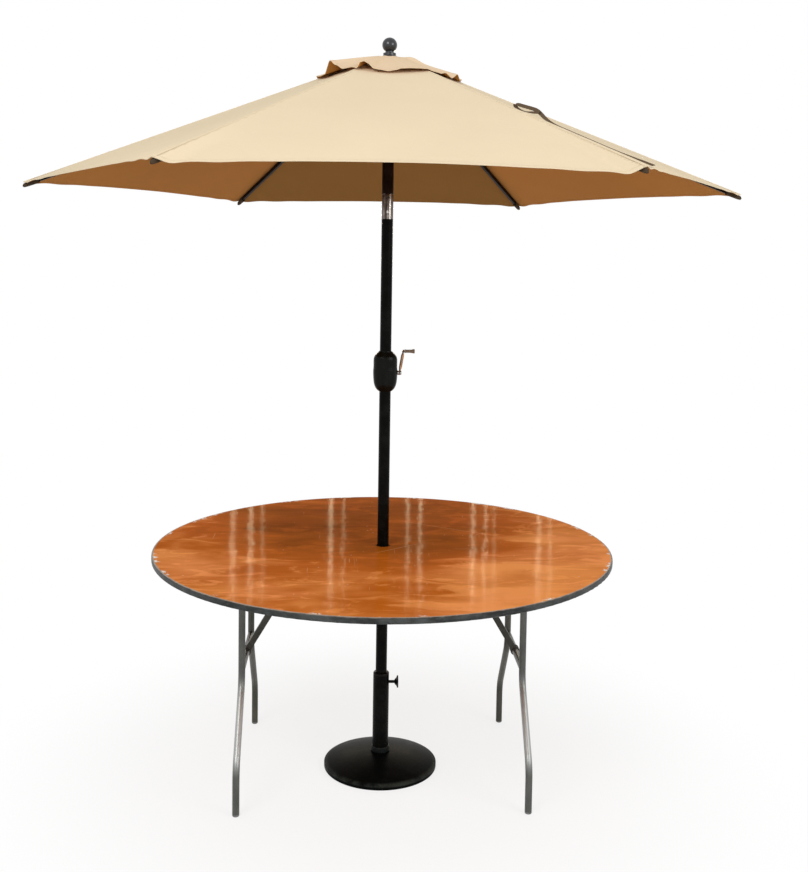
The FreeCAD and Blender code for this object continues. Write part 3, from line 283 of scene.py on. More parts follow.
class ClothColours(bpy.types.PropertyGroup):
    top: as_colour("Upper side", (0.755, 0.622, 0.43), "The canopy's sunny side")
    # The underside is the same cloth as the upper side: its darker colour is painted shade.
    under: as_colour("Underside", (0.275, 0.132, 0.034), "The canopy's shaded side")
    through: as_colour("Light through", (0.465, 0.197, 0.049), "The underside in the sun")
    vent: as_colour("Vent cap", (0.755, 0.572, 0.38), "The cap over the wind vent")
    strap: as_colour("Strap", (0.115, 0.078, 0.048), "The closing strap")


class TableColours(bpy.types.PropertyGroup):
    light: as_colour("Light grain", (0.86, 0.322, 0.088), "Lightest tone of the varnished birch")
    middle: as_colour("Birch", (0.5, 0.122, 0.012), "Main tone of the varnished birch")
    dark: as_colour("Dark grain", (0.205, 0.054, 0.002), "Darkest tone of the varnished birch")
    band: as_colour("Edge band", (0.02, 0.022, 0.021), "The vinyl round the edge")


class StageSettings(bpy.types.PropertyGroup):
    daylight: as_light("Daylight", 0.62, "Strength of the even light from all round")
    key: as_light("Key light", 134, "Power of the large lamp over the camera's left shoulder")
    strips: as_light("Strip lamps", 30, "Brightness of the thin lamps behind that gleam in the varnish")


def smooth(x):
    """Smooth step: three x squared less two x cubed, for x held between 0 and 1."""
    x = np.clip(x, 0.0, 1.0)
    return x * x * (3 - 2 * x)


def turned(points, number):
    """Points turned about the pole's axis, from the first rib to the numbered one."""
    c = math.cos(SECTOR * (number - 1))
    s = math.sin(SECTOR * (number - 1))
    x, y, z = np.moveaxis(np.asarray(points, float), -1, 0)
    return np.stack([c * x - s * y, s * x + c * y, z], -1)


def unit(vectors):
    """Vectors divided by their lengths."""
    return vectors / np.linalg.norm(vectors, axis=-1, keepdims=True)


def rounded(angle, power):
    """A rounded box's section: the angle's cosine and sine to a power, with their signs kept."""
    return [np.sign(q) * np.abs(q) ** power for q in (np.cos(angle), np.sin(angle))]


def tinted(colour, gain, lift=0.0):
    """A colour times a gain plus a lift, held below 1."""
    return tuple(min(1.0, c * gain + lift) for c in colour)


def grid_faces(rows, columns, first=0, wrap=False, flip=False):
    """Quads between neighbours of a grid, whose normals are the row direction crossed with the column
    direction. Row times columns plus column numbers each corner."""
    r = np.arange(rows - 1)[:, None]
    c = np.arange(columns if wrap else columns - 1)[None, :]
    d = (c + 1) % columns
    quads = np.stack([r * columns + c, (r + 1) * columns + c,
                      (r + 1) * columns + d, r * columns + d], -1)
    quads = quads.reshape(-1, 4) + first
    return quads[:, ::-1] if flip else quads


def piece(name, points, faces, materials, parts=None, uv=None, attributes=(), angle=38):
    """A mesh object at the origin. parts gives each face's material, and uv and attributes a value for
    each point. Edges that turn by more than the angle stay sharp."""
    mesh = bpy.data.meshes.new(name)
    mesh.from_pydata(np.reshape(points, (-1, 3)), [], faces, False)
    if parts is not None:
        mesh.polygons.foreach_set("material_index", np.asarray(parts, np.int32))
    if uv is not None:
        corners = np.reshape(uv, (-1, 2))[np.concatenate(faces)]
        mesh.uv_layers.new(name="Cloth").data.foreach_set("uv", corners.astype(np.float32).ravel())
    for key, values in dict(attributes).items():
        made = mesh.attributes.new(key, "FLOAT", "POINT")
        made.data.foreach_set("value", np.asarray(values, np.float32).ravel())
    mesh.set_sharp_from_angle(angle=math.radians(angle))
    for material in materials:
        mesh.materials.append(material)
    mesh.validate()
    made = bpy.data.objects.new(name, mesh)
    bpy.context.scene.collection.objects.link(made)
    return made


def cloth(name, number, under, over, materials, uv, attributes=(), flip=False, angle=38):
    """A closed sheet between two grids of points, turned to the numbered rib: the lower grid faces
    down, the upper one up, and strips join their edges. The upper side's material comes first."""
    rows, columns = under.shape[:2]
    half = rows * columns
    points = np.concatenate([over.reshape(-1, 3), under.reshape(-1, 3)])
    top = grid_faces(rows, columns, 0, False, flip)
    low = grid_faces(rows, columns, half, False, not flip)
    index = np.arange(half).reshape(rows, columns)
    rims = []
    for line, way in ((index[0], True), (index[-1], False), (index[:, 0], False), (index[:, -1], True)):
        strip = np.stack([line[:-1], line[1:], line[1:] + half, line[:-1] + half], -1)
        rims.append(strip if way != flip else strip[:, ::-1])
    parts = np.concatenate([np.zeros(len(top)), np.ones(len(low)), np.zeros(sum(map(len, rims)))])
    both = {key: np.tile(np.ravel(v), 2) for key, v in dict(attributes).items()}
    faces = np.concatenate([top, low] + rims)
    return piece(name, turned(points, number), faces, materials, parts,
                 np.tile(uv.reshape(-1, 2), (2, 1)), both, angle)


def lifted(grid, thickness):
    """The grid moved along its own normals, the cross products of its two directions of travel."""
    normal = np.cross(np.gradient(grid, axis=0), np.gradient(grid, axis=1))
    normal /= np.maximum(np.linalg.norm(normal, axis=-1, keepdims=True), 1e-12)
    normal *= np.sign(normal[..., 2:3].mean()) or 1.0
    return grid + normal * np.asarray(thickness)[..., None]


def hemmed(grid, to_hem, width, thickness, extra):
    """A cloth's upper side: its thickness, and an extra share of it where the hem is folded under."""
    fold = 1 - smooth((to_hem - width) / 0.002)
    return lifted(grid, thickness * (1 + extra * fold))


def surface_area(grid):
    """Sum over the grid's cells of the length of the cross product of their two sides."""
    cells = np.cross(np.diff(grid, axis=0)[:, :-1], np.diff(grid, axis=1)[:-1])
    return float(np.linalg.norm(cells, axis=-1).sum())


def bow(share):
    """A hem's curve: one less the square of what is left to the middle of the gore."""
    return 1 - (1 - share) ** 2


def gore_fall(sizes, x, y):
    """Level of the cloth's underside in its flat: the apex level less the slope along the ridge, where
    the distance from the apex is x plus the sideways distance times the tangent of 30 degrees."""
    return sizes.apex_level - math.tan(sizes.slope) * (x + np.abs(y) * math.tan(HALF))


def cloth_uv(x, y, way, slope=0.0):
    """Metres across a gore and down it: the plan turned by half a sector, and stretched by the slope."""
    across = way * (y * math.cos(HALF) - x * math.sin(HALF))
    along = x * math.cos(HALF) + y * math.sin(HALF)
    return np.stack([across, along / math.cos(slope)], -1)


# How far a taut gore's hem hangs, and how much of the corner drop the slack front gore has beside each
# of its ribs, by rib and side.
TAUT_DROP = 0.003
SLACK_HALVES = {(5, 1): 0.85, (6, -1): 1.25}


def half_gore(sizes, way, number):
    """Underside of half a gore, from its rib (share 0) to the gore's middle (share 1), from the vent
    hole to the hem. Each point lies on a straight line from the hole to the hem's bow. It is lowered by
    a sag, a half sine down the gore times the bow of the share, by the hem's drop, eased in from the rib
    and from above, by a flutter that dies out from the corner, and by a long faint wave."""
    share = np.linspace(0, 1, 41) ** 1.15
    down = np.concatenate([np.linspace(0, 0.955, 60), np.linspace(0.961, 1, 12)])
    w, v = np.meshgrid(down, share, indexing="ij")

    def rim(radius, inward):
        middle = radius * math.cos(HALF)
        x = radius + (middle * math.cos(HALF) - radius) * v - inward * math.cos(HALF)
        return x, middle * math.sin(HALF) * v - inward * math.sin(HALF)

    hem_x, hem_y = rim(sizes.radius, sizes.scallop * bow(v))
    hole_x, hole_y = rim(sizes.hole, 0.0)
    x = hole_x + (hem_x - hole_x) * w
    y = hole_y + (hem_y - hole_y) * w
    drop = TAUT_DROP
    if (number, way) in SLACK_HALVES:
        corner = sizes.corner_drop * SLACK_HALVES[number, way]
        drop = sizes.front_drop + (corner - sizes.front_drop) * (1 - v) ** 2
    flutter = 0.0035 * np.sin(9 * math.pi * v) * (1 - v) * np.exp(-v * 4)
    wave = 0.0014 * np.sin(2 * math.pi * (w * 3.1 + number * 0.37)) * np.sin(math.pi * v) ** 2
    z = gore_fall(sizes, x, y) - sizes.sag * np.sin(math.pi * w ** 0.8) * bow(v)
    z = z - drop * smooth(v / 0.09) * smooth((w - 0.35) / 0.65) ** 2
    z = z - flutter * smooth((w - 0.8) / 0.2) - wave * w
    to_hem = (1 - w) * np.hypot(hem_x - hole_x, hem_y - hole_y)
    to_seam = y * math.cos(HALF) * 1.02
    return np.stack([x, way * y, z], -1), cloth_uv(x, y, way, sizes.slope), to_hem, to_seam


def hang(made, sizes, way, number, node):
    """Hangs cloth that lies beside a rib on it, in place of a node."""
    lean = math.sin(sizes.pleat_lean)
    axis = (-math.sin(sizes.slope) * lean, way * math.cos(sizes.pleat_lean),
            -math.cos(sizes.slope) * lean)
    anchor = (PIVOT_RADIUS, 0.0, gore_fall(sizes, PIVOT_RADIUS, 0.0))
    tuple(turned(axis, number))
    tuple(turned(anchor, number))
    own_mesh(made)
    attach(made, "rib_%d" % number)
    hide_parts(node)


# Height of the cap's hem over the gores at azimuths in degrees, hollows and tops in turn.
VENT_HEM = ((180, 0.0078), (195, 0.006), (204.5, 0.0094), (212.5, 0.0478), (221, 0.0285),
            (230, 0.0096), (236, 0.0083), (243, 0.004), (245.5, 0.0241), (248.5, 0.0275),
            (251.2, 0.0226), (256.2, 0.007), (261, 0.005), (267.2, 0.0018), (273.8, 0.006),
            (277, 0.0105), (284, 0.0112), (290.5, 0.0096), (297.2, 0.0067), (301, 0.0018),
            (312.2, 0.004), (318.8, 0.0112), (328.5, 0.002), (341, 0.02), (349.8, 0.003),
            (358, 0.0075), (368, 0.003), (382, 0.023), (395, 0.005), (406, 0.003), (417, 0.015),
            (428, 0.004), (441, 0.019), (452, 0.005), (462, 0.003), (472, 0.027), (484, 0.007),
            (497, 0.003), (509, 0.021), (520, 0.007), (531, 0.003), (540, 0.0078))


def vent_lift(azimuth):
    """Height of the cap's free hem over the gores by azimuth in degrees: a smooth curve through the
    tops and hollows of its ruffles, eased from each to the next."""
    spots, levels = np.array(VENT_HEM, float).T
    a = (azimuth - 180) % 360 + 180
    k = np.clip(np.searchsorted(spots, a, side="right") - 1, 0, len(spots) - 2)
    share = (a - spots[k]) / (spots[k + 1] - spots[k])
    return levels[k] + (levels[k + 1] - levels[k]) * (0.35 * share + 0.65 * smooth(share))


def vent_grid(sizes, vent, way, number, start, end, rows):
    """Underside of the cap beside a rib. Its collar falls with the cap's slope until it meets the gores'
    flat. From there on it follows them, and its ruffles rise in straight folds from the collar to the
    hem, so the height over the gores is the hem's lift times the share of the way out. A hump lifts the
    right hand side of the collar, and shallow creases run out from it."""
    reach = start + (end - start) * np.linspace(0, 1, rows)
    x0, v = np.meshgrid(reach, np.linspace(0, 1, 25), indexing="ij")
    gap = 0.0034
    first_fold = 0.03
    hump_azimuth = 352
    out = (x0 - vent.bore) / (vent.radius - vent.bore)
    bulge = 0.022 * bow(v) * smooth((out - 0.3) / 0.7)
    x = x0 - x0 * math.sin(HALF) ** 2 * v + bulge * math.cos(HALF)
    y = x0 * math.sin(HALF) * math.cos(HALF) * v + bulge * math.sin(HALF)
    azimuth = np.degrees(np.arctan2(way * y, x)) + 60 * (number - 1)
    collar = vent.level - vent.slope * np.hypot(x, y)
    flat = gore_fall(sizes, x, y) + gap
    sharpness = 900
    low = collar - np.log(1 + np.exp((collar - flat) * sharpness)) / sharpness
    fold = vent_lift(azimuth) * np.clip((x0 - first_fold) / (vent.radius - first_fold), 0, 1)
    turn = (azimuth - hump_azimuth + 180) % 360 - 180
    hump = 0.013 * np.exp(-(x0 - 0.088) ** 2 / 0.0009 - turn ** 2 / 450)
    crease = 0.0009 * np.sin(np.radians(azimuth) * 23 + 1.3) * smooth((out - 0.1) * 3) * (1 - out)
    grid = np.stack([x, way * y, low + fold + hump + crease], -1)
    return grid, cloth_uv(x, y, way), vent.radius - x0, y


def ribbon(path, side, width, thickness, columns):
    """Grids of a strap's lower and upper faces: the path's points plus shares of its width to each
    side, and the thickness along the normal, which is the cross product of the two."""
    ahead = unit(np.gradient(path, axis=0))
    side = unit(side - (side * ahead).sum(1, keepdims=True) * ahead)
    normal = np.cross(ahead, side)
    share = np.linspace(-0.5, 0.5, columns)[None, :, None]
    low = path[:, None] + side[:, None] * share * width
    return low, low + normal[:, None] * thickness


def eased_path(spots, count):
    """A smooth line through points: cubic Hermite pieces with slopes from each point's neighbours."""
    spots = np.asarray(spots, float)
    slopes = np.gradient(spots, axis=0)
    t = np.linspace(0, len(spots) - 1, count)
    k = np.minimum(t.astype(int), len(spots) - 2)
    s = (t - k)[:, None]
    a = spots[k]
    b = spots[k + 1]
    m = slopes[k]
    n = slopes[k + 1]
    return ((2 * s ** 3 - 3 * s ** 2 + 1) * a + (s ** 3 - 2 * s ** 2 + s) * m
            + (3 * s ** 2 - 2 * s ** 3) * b + (s ** 3 - s ** 2) * n)


def repeats(pitch):
    """Scale at which a wave texture repeats once in each pitch."""
    return 1 / pitch / 6.283


def canvas(name, colour, shade=0.93, hem=True, through=None):
    """Woven polyester: a plain weave of two crossing waves, slubs, faint streaks along the threads,
    creases, and stitched lines at the hem and the seam. through is the colour where the light shines
    through, by the share in the piece's attribute."""
    finish = Finish(name, 0.06)
    where = finish.uv()
    slub = finish.noise(finish.uv((18, 160, 1)), 4.0, 3.0)
    warp = finish.noise(finish.uv((170, 14, 1)), 4.0, 3.0)
    cloud = finish.noise(EVEN, 2.2)
    tone = (slub - 0.5) * 0.1 + (warp - 0.5) * 0.08 + (cloud - 0.5) * 0.22 + 0.5
    base = finish.mix(tone.eased(0.3, 0.7), tinted(colour, shade), tinted(colour, 2 - shade))
    if through is not None:
        base = finish.mix(finish.attribute("through") * (cloud * 0.5 + 0.75), base, through)
    threads = [finish.stripes(where, repeats(THREAD_PITCH), direction=d) for d in "XY"]
    normal = finish.bump(threads[0] * threads[1] * 0.35 + slub * 0.2 + warp * 0.2, 0.0007, 0.5)
    crease = finish.noise(where, 7.0, 3.0, 0.5, 0.6)
    normal = finish.bump(crease, 0.006, 0.35, normal)
    if hem:
        to_hem = finish.attribute("to_hem")
        to_seam = finish.attribute("to_seam")
        line = 1 - abs(to_hem - HEM_STITCHES).eased(0.0004, 0.0016)
        line = line.most(1 - abs(to_seam - SEAM_STITCHES).eased(0.0004, 0.0014))
        dash = finish.stripes(where, repeats(STITCH_PITCH), direction="DIAGONAL")
        thread = line * dash.eased(0.25, 0.55)
        base = finish.mix(line * 0.22, base, tinted(colour, 0.62))
        base = finish.mix(thread * 0.55, base, tinted(colour, 1.08))
        fold = to_hem.eased(HEM_STITCHES + 0.001, HEM_STITCHES + 0.0035)
        normal = finish.bump(fold * -1.0 - line * 0.8 + thread * 0.5, 0.0008, 0.8, normal)
    return finish.done(base, slub * 0.08 + 0.82, normal)


def metal_paint(name, colour, rough, gloss, wear=0.0, edge=None):
    """Painted or powder-coated metal: orange peel, dust in the roughness, a few scuffed spots. edge is
    the colour of the narrow faces, a painted shade, by the share in the piece's attribute."""
    finish = Finish(name, gloss)
    peel = finish.noise(EVEN, 420.0, 2.0)
    dust = finish.noise(EVEN, 26.0, 5.0, 0.6)
    scuff = finish.noise((1, 1, 0.35), 60.0, 6.0, 0.7)
    spots = scuff.eased(0.66, 0.74) * wear
    base = finish.mix(dust.eased(0.35, 0.75), colour, tinted(colour, 1.7, 0.004))
    if edge is not None:
        base = finish.mix(finish.attribute("edge") * 0.9, base, edge)
    base = finish.mix(spots, base, (0.2, 0.19, 0.18))
    return finish.done(base, dust * 0.22 + (rough - 0.1) + spots * 0.2, finish.bump(peel, 0.00015, 0.6))


def bare_metal(name, colour, rough=0.35, brush=EVEN, stain=0.15, bright=None, metal=1.0):
    """Plated or galvanised steel: brushed streaks and dull patches. bright is the colour of a painted
    highlight in the middle of the tubes' length, and painted shade darkens them at the back."""
    finish = Finish(name, 0.2, metal)
    streak = finish.noise(brush, 90.0, 4.0, 0.6)
    patch = finish.noise(EVEN, 9.0, 5.0, 0.6)
    tone = streak * 0.35 + patch * 0.65
    base = finish.mix(tone.eased(0.32, 0.68), tinted(colour, 1 - stain), colour)
    if bright is not None:
        y, z = finish.split()[1:]
        # Painted highlight: a band between the tubes' bends takes the bright colour, fading towards the
        # back.
        painted_highlight_band = z.eased(0.12, 0.19) * z.eased(0.3, 0.4, 1.0, 0.0) * y.eased(-0.2, 0.1, 1.0, 0.15)
        base = finish.mix(painted_highlight_band * (patch * 0.5 + 0.6), base, bright)
        # Painted shade: the tubes at the back are darkened and warmed.
        base = finish.mix(y.eased(0.02, 0.2) * 0.8, base, (0.62, 0.58, 0.5), "MULTIPLY")
    return finish.done(base, tone * 0.22 + (rough - 0.11), finish.bump(streak, 0.0002, 0.5))


def chrome(name):
    """Chromed sleeve: painted reflections, upright bands of light and dark standing in for its
    surroundings.
    """
    finish = Finish(name, metal=1.0)
    # Painted reflection: the upright bands of light and dark are in the base colour.
    bands = finish.noise(finish.at((1, 1, 0.05), shift=(0.004, 0.0, 0.0)), 75.0, 2.0, 0.5)
    cloud = finish.noise((1, 1, 0.6), 60.0, 3.0, 0.6)
    tone = (bands * 0.75 + cloud * 0.25).ramp(
        (0.4, (0.03, 0.02, 0.015)), (0.5, (0.12, 0.095, 0.08)), (0.6, (0.34, 0.31, 0.28)),
        (0.7, (0.8, 0.78, 0.75)))
    return finish.done(tone, cloud * 0.15 + 0.08, finish.bump(cloud, 0.0001, 0.4))


def moulded(name, colour, rough, grain=0.0002, gloss=0.12):
    """Moulded plastic: fine spark texture, handling marks in its gloss."""
    finish = Finish(name, gloss)
    spark = finish.noise(EVEN, 700.0, 2.0)
    marks = finish.noise((1, 1, 0.6), 35.0, 5.0, 0.65)
    base = finish.mix(marks.eased(0.4, 0.8), colour, tinted(colour, 1.6, 0.004))
    return finish.done(base, marks * 0.25 + (rough - 0.12), finish.bump(spark, grain, 0.5))


def varnished_birch(colours):
    """Rotary-cut birch under varnish: long grain along X in broad swirls and clouds, painted shade that
    darkens it behind the middle, a darker pool in front of it, fine pores, waviness in the varnish,
    scratches, dust specks and a few chips along the rim. The underside is bare wood."""
    finish = Finish("varnished_birch", 0.0006)
    noise, at, mix, bump = finish.noise, finish.at, finish.mix, finish.bump
    x, y, z = finish.split()
    low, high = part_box("table_top")

    def oval(middle_x, middle_y, gain_x, gain_y):
        """Squared distance from a middle, with a gain for each axis."""
        aside = x - middle_x
        behind = y - middle_y
        return aside * aside * gain_x + behind * behind * gain_y

    swirl = noise(at((1.3, 2.6, 1), shift=(0.3, 0.1, 0)), 2.6, 4.0, 0.5, 0.9)
    grain = noise((1.4, 26, 1), 3.0, 6.0, 0.62, 0.5)
    pores = noise((9, 260, 1), 3.0, 2.0)
    cloud = noise(at((0.9, 1.5, 1), shift=(0.4, 0.7, 0)), 2.6, 3.0)
    patch = noise(at((2.4, 5, 1), shift=(0.1, 0.3, 0)), 2.4, 5.0, 0.6, 1.2)
    patch = patch.eased(0.5, 0.62)
    # Painted shade: the varnish is darkest at a spot behind the middle, and lightens away from it and to
    # the right.
    painted_shade_and_pale_top = oval(-0.05, 0.32, 1.25, 1.1).eased(0.02, 0.66) + x * 0.22
    pool = oval(-0.03, -0.6, 3.5, 3.0).eased(0.02, 0.4, 1.0, 0.0)
    tone = painted_shade_and_pale_top * 0.36 - pool * 0.1 + 0.365
    for part, gain in ((swirl, 0.34), (grain, 0.06), (cloud, 0.46), (pores, 0.05), (patch, 0.1)):
        tone = tone + (part - 0.5) * gain
    base = tone.ramp((0.2, colours.dark), (0.54, colours.middle), (0.76, colours.light))
    rose = noise(at((1, 1.4, 1), shift=(0, 0.2, 0)), 3.4, 2.0).eased(0.46, 0.62)
    base = mix(rose * 0.35, base, (1.0, 0.9, 1.2), "MULTIPLY")
    scratch = noise(at((70, 2.0, 1), (0, 0, 0.9)), 2.0, 3.0).eased(0.7, 0.74)
    thin = noise(at((2.4, 90, 1), (0, 0, -0.35)), 2.0, 3.0).eased(0.71, 0.75)
    scratch = scratch.most(thin) * noise(EVEN, 2.6, 2.0).eased(0.45, 0.6)
    # Two long scratches: a line's normal, its distance from the middle, and its two ends along it.
    for a, b, away, start, end in ((0.56, 0.83, 0.33, -0.3, 0.14), (-0.62, 0.78, -0.06, -0.12, 0.1)):
        line = 1 - abs(x * a + y * b - away).eased(0.0006, 0.0018)
        along = y * a - x * b
        line = line * along.eased(start, start + 0.04) * along.eased(end - 0.04, end, 1.0, 0.0)
        scratch = scratch.most(line)
    base = mix(scratch * 0.4, base, (0.78, 0.46, 0.22))
    dots = finish.node("ShaderNodeTexVoronoi", (), {"Vector": at((1, 1.6, 1)), "Scale": 22.0})
    specks = (1 - dots.eased(0.04, 0.08)) * noise(EVEN, 7.0, 1.0).eased(0.53, 0.58)
    base = mix(specks * 0.6, base, (0.85, 0.62, 0.42))
    rim = oval(0, 0, 1, 1).math("SQRT").eased(high.x - 0.021, high.x - 0.004)
    broken = noise(EVEN, 42.0, 4.0, 0.7)
    rare = noise(at(shift=(0.13, 0.4, 0)), 9.0, 1.0).eased(0.56, 0.62)
    chips = (broken + rim * 0.12).eased(0.6, 0.63) * rim * rare
    base = mix(chips, base, (0.86, 0.8, 0.72))
    bare = z.eased(low.z - 0.0005, low.z + 0.0005, 0.75, 0.0)
    base = mix(bare, base, (0.42, 0.22, 0.09))
    sheet = noise((1.6, 3.0, 1), 5.0, 2.0, 0.5, 0.3)
    ripple = noise((2.2, 1.3, 1), 8.0, 2.0, 0.5, 0.6)
    normal = bump(sheet, 0.0007, 0.7)
    normal = bump(ripple, 0.0005, 0.7, normal)
    normal = bump(chips * -1.0 - scratch * 0.15, 0.0006, 0.6, normal)
    dull = noise((2, 6, 1), 3.0)
    return finish.done(base, dull * 0.07 + grain * 0.03 + 0.02 + chips * 0.5 + scratch * 0.2, normal)


def edge_vinyl(colours):
    """Vinyl T-moulding: mottled, scuffed along its length and paler along its upper edge."""
    finish = Finish("edge_vinyl", 0.15)
    z = finish.split()[2]
    scuff = finish.noise((1, 1, 5), 30.0, 6.0, 0.7)
    patch = finish.noise((1, 1, 2), 14.0, 5.0, 0.65)
    base = finish.mix(patch.eased(0.35, 0.7), colours.band, tinted(colours.band, 3.2))
    base = finish.mix(scuff.eased(0.6, 0.74) * 0.6, base, (0.24, 0.22, 0.19))
    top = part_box("edge_band")[1].z
    # Here the mask only makes the band paler along its upper edge.
    painted_shade_and_pale_top = (z + scuff * 0.004).eased(top, top + 0.0025)
    base = finish.mix(painted_shade_and_pale_top * 0.8, base, (0.45, 0.36, 0.28))
    return finish.done(base, scuff * 0.25 + 0.3, finish.bump(scuff, 0.0004, 0.5))


def cast_iron(name, colour):
    """Cast foot under gloss black: pebbled skin, dust, and a painted highlight, grey in patches, on the
    rim.
    """
    finish = Finish(name, 0.018)
    pebble = finish.noise(EVEN, 150.0, 3.0)
    dust = finish.noise(EVEN, 14.0, 6.0, 0.7)
    base = finish.mix(dust.eased(0.45, 0.8), colour, tinted(colour, 1.6, 0.003))
    z = finish.split()[2]
    # Painted highlight: a grey band along the rim's edge, broken up by the dust noise.
    painted_highlight_band = z.eased(0.008, 0.013) * z.eased(0.016, 0.021, 1.0, 0.0) * dust.eased(0.3, 0.6)
    base = finish.mix(painted_highlight_band * 0.6, base, (0.05, 0.058, 0.05))
    return finish.done(base, dust * 0.25 + 0.24, finish.bump(pebble, 0.0007, 0.5))


def bare_wood(name, light, dark):
    """Plain pine blocks under the top: straight grain."""
    finish = Finish(name, 0.3)
    grain = finish.noise((40, 3, 40), 3.0, 5.0, 0.6, 0.4)
    rings = finish.stripes(finish.at((1, 0.06, 1)), 24.0, 3.0, detail=2.0)
    base = finish.mix((grain * 0.6 + rings * 0.4).eased(0.25, 0.75), dark, light)
    return finish.done(base, grain * 0.15 + 0.6, finish.bump(grain, 0.0004, 0.5))


def settings():
    return bpy.context.scene.umbrella_table


class OBJECT_OT_table_finishes(bpy.types.Operator):
    """Give every rigid piece of the frame its own finish"""
    bl_idname = "object.table_finishes"
    bl_label = "Frame Finishes"

    def execute(self, context):
        table = settings().table
        # Each finish with the nodes that have it. A name that ends in _ stands for all that start so.
        rows = (
            (varnished_birch(table), "table_top"),
            (edge_vinyl(table), "edge_band"),
            (bare_wood("pine_block", (0.5, 0.3, 0.14), (0.33, 0.17, 0.07)), "hinge_cleats brace_cleats"),
            (bare_metal("zinc_plate", (0.42, 0.43, 0.44), 0.34),
             "hinge_saddles brace_brackets table_screws button_spring housing_screws tilt_pin"),
            (bare_metal("strap_steel", (0.085, 0.083, 0.07), 0.42, stain=0.5, metal=0.5),
             "brace_upper_ brace_lower_"),
            # Galvanised tubes with a painted highlight in the middle and painted shade at the back.
            (bare_metal("galvanised_tube", (0.125, 0.13, 0.12), 0.38, (1, 1, 0.08), 0.35,
                        (0.43, 0.44, 0.43), 0.6), "leg_tubes_ hinge_tube_ cross_rail_"),
            (moulded("foot_plug", (0.17, 0.17, 0.17), 0.5), "foot_plugs_"),
            (cast_iron("black_base", (0.0022, 0.0026, 0.0023)), "base_disc"),
            (metal_paint("collar_black", (0.009, 0.0105, 0.01), 0.35, 0.08), "base_collar"),
            (metal_paint("pole_black", (0.0016, 0.0018, 0.0013), 0.26, 0.05, 0.1),
             "base_stem lower_pole"),
            (metal_paint("pole_brown", (0.0095, 0.0034, 0.001), 0.3, 0.04, 0.1), "upper_pole"),
            (metal_paint("rib_brown", (0.011, 0.0055, 0.003), 0.4, 0.06, 0.15), "rib_ strut_"),
            (moulded("black_plastic", (0.003, 0.0033, 0.0024), 0.26, gloss=0.1),
             "stem_cap clamp_knob housing_front housing_back top_hub runner"),
            (chrome("chrome"), "tilt_sleeve tilt_button"),
            (bare_metal("shaft_steel", (0.46, 0.46, 0.46), 0.3), "crank_shaft"),
            (moulded("spool_plastic", (0.06, 0.06, 0.06), 0.5), "cord_spool hub_pulley"),
            # Bronze crank whose bar has a painted shade on its narrow faces.
            (metal_paint("crank_bronze", (0.36, 0.2, 0.1), 0.32, 0.2, 0.6, (0.03, 0.018, 0.012)),
             "crank_arm"),
            (moulded("crank_grip", (0.2, 0.15, 0.11), 0.45), "crank_grip"),
            (moulded("finial_gloss", (0.016, 0.018, 0.021), 0.2, 0.00005, 0.5), "finial"),
        )
        for material, names in rows:
            for name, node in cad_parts.items():
                if any(name == n or (n[-1] == "_" and name.startswith(n)) for n in names.split()):
                    node.data.materials.clear()
                    node.data.materials.append(material)
        return {"FINISHED"}


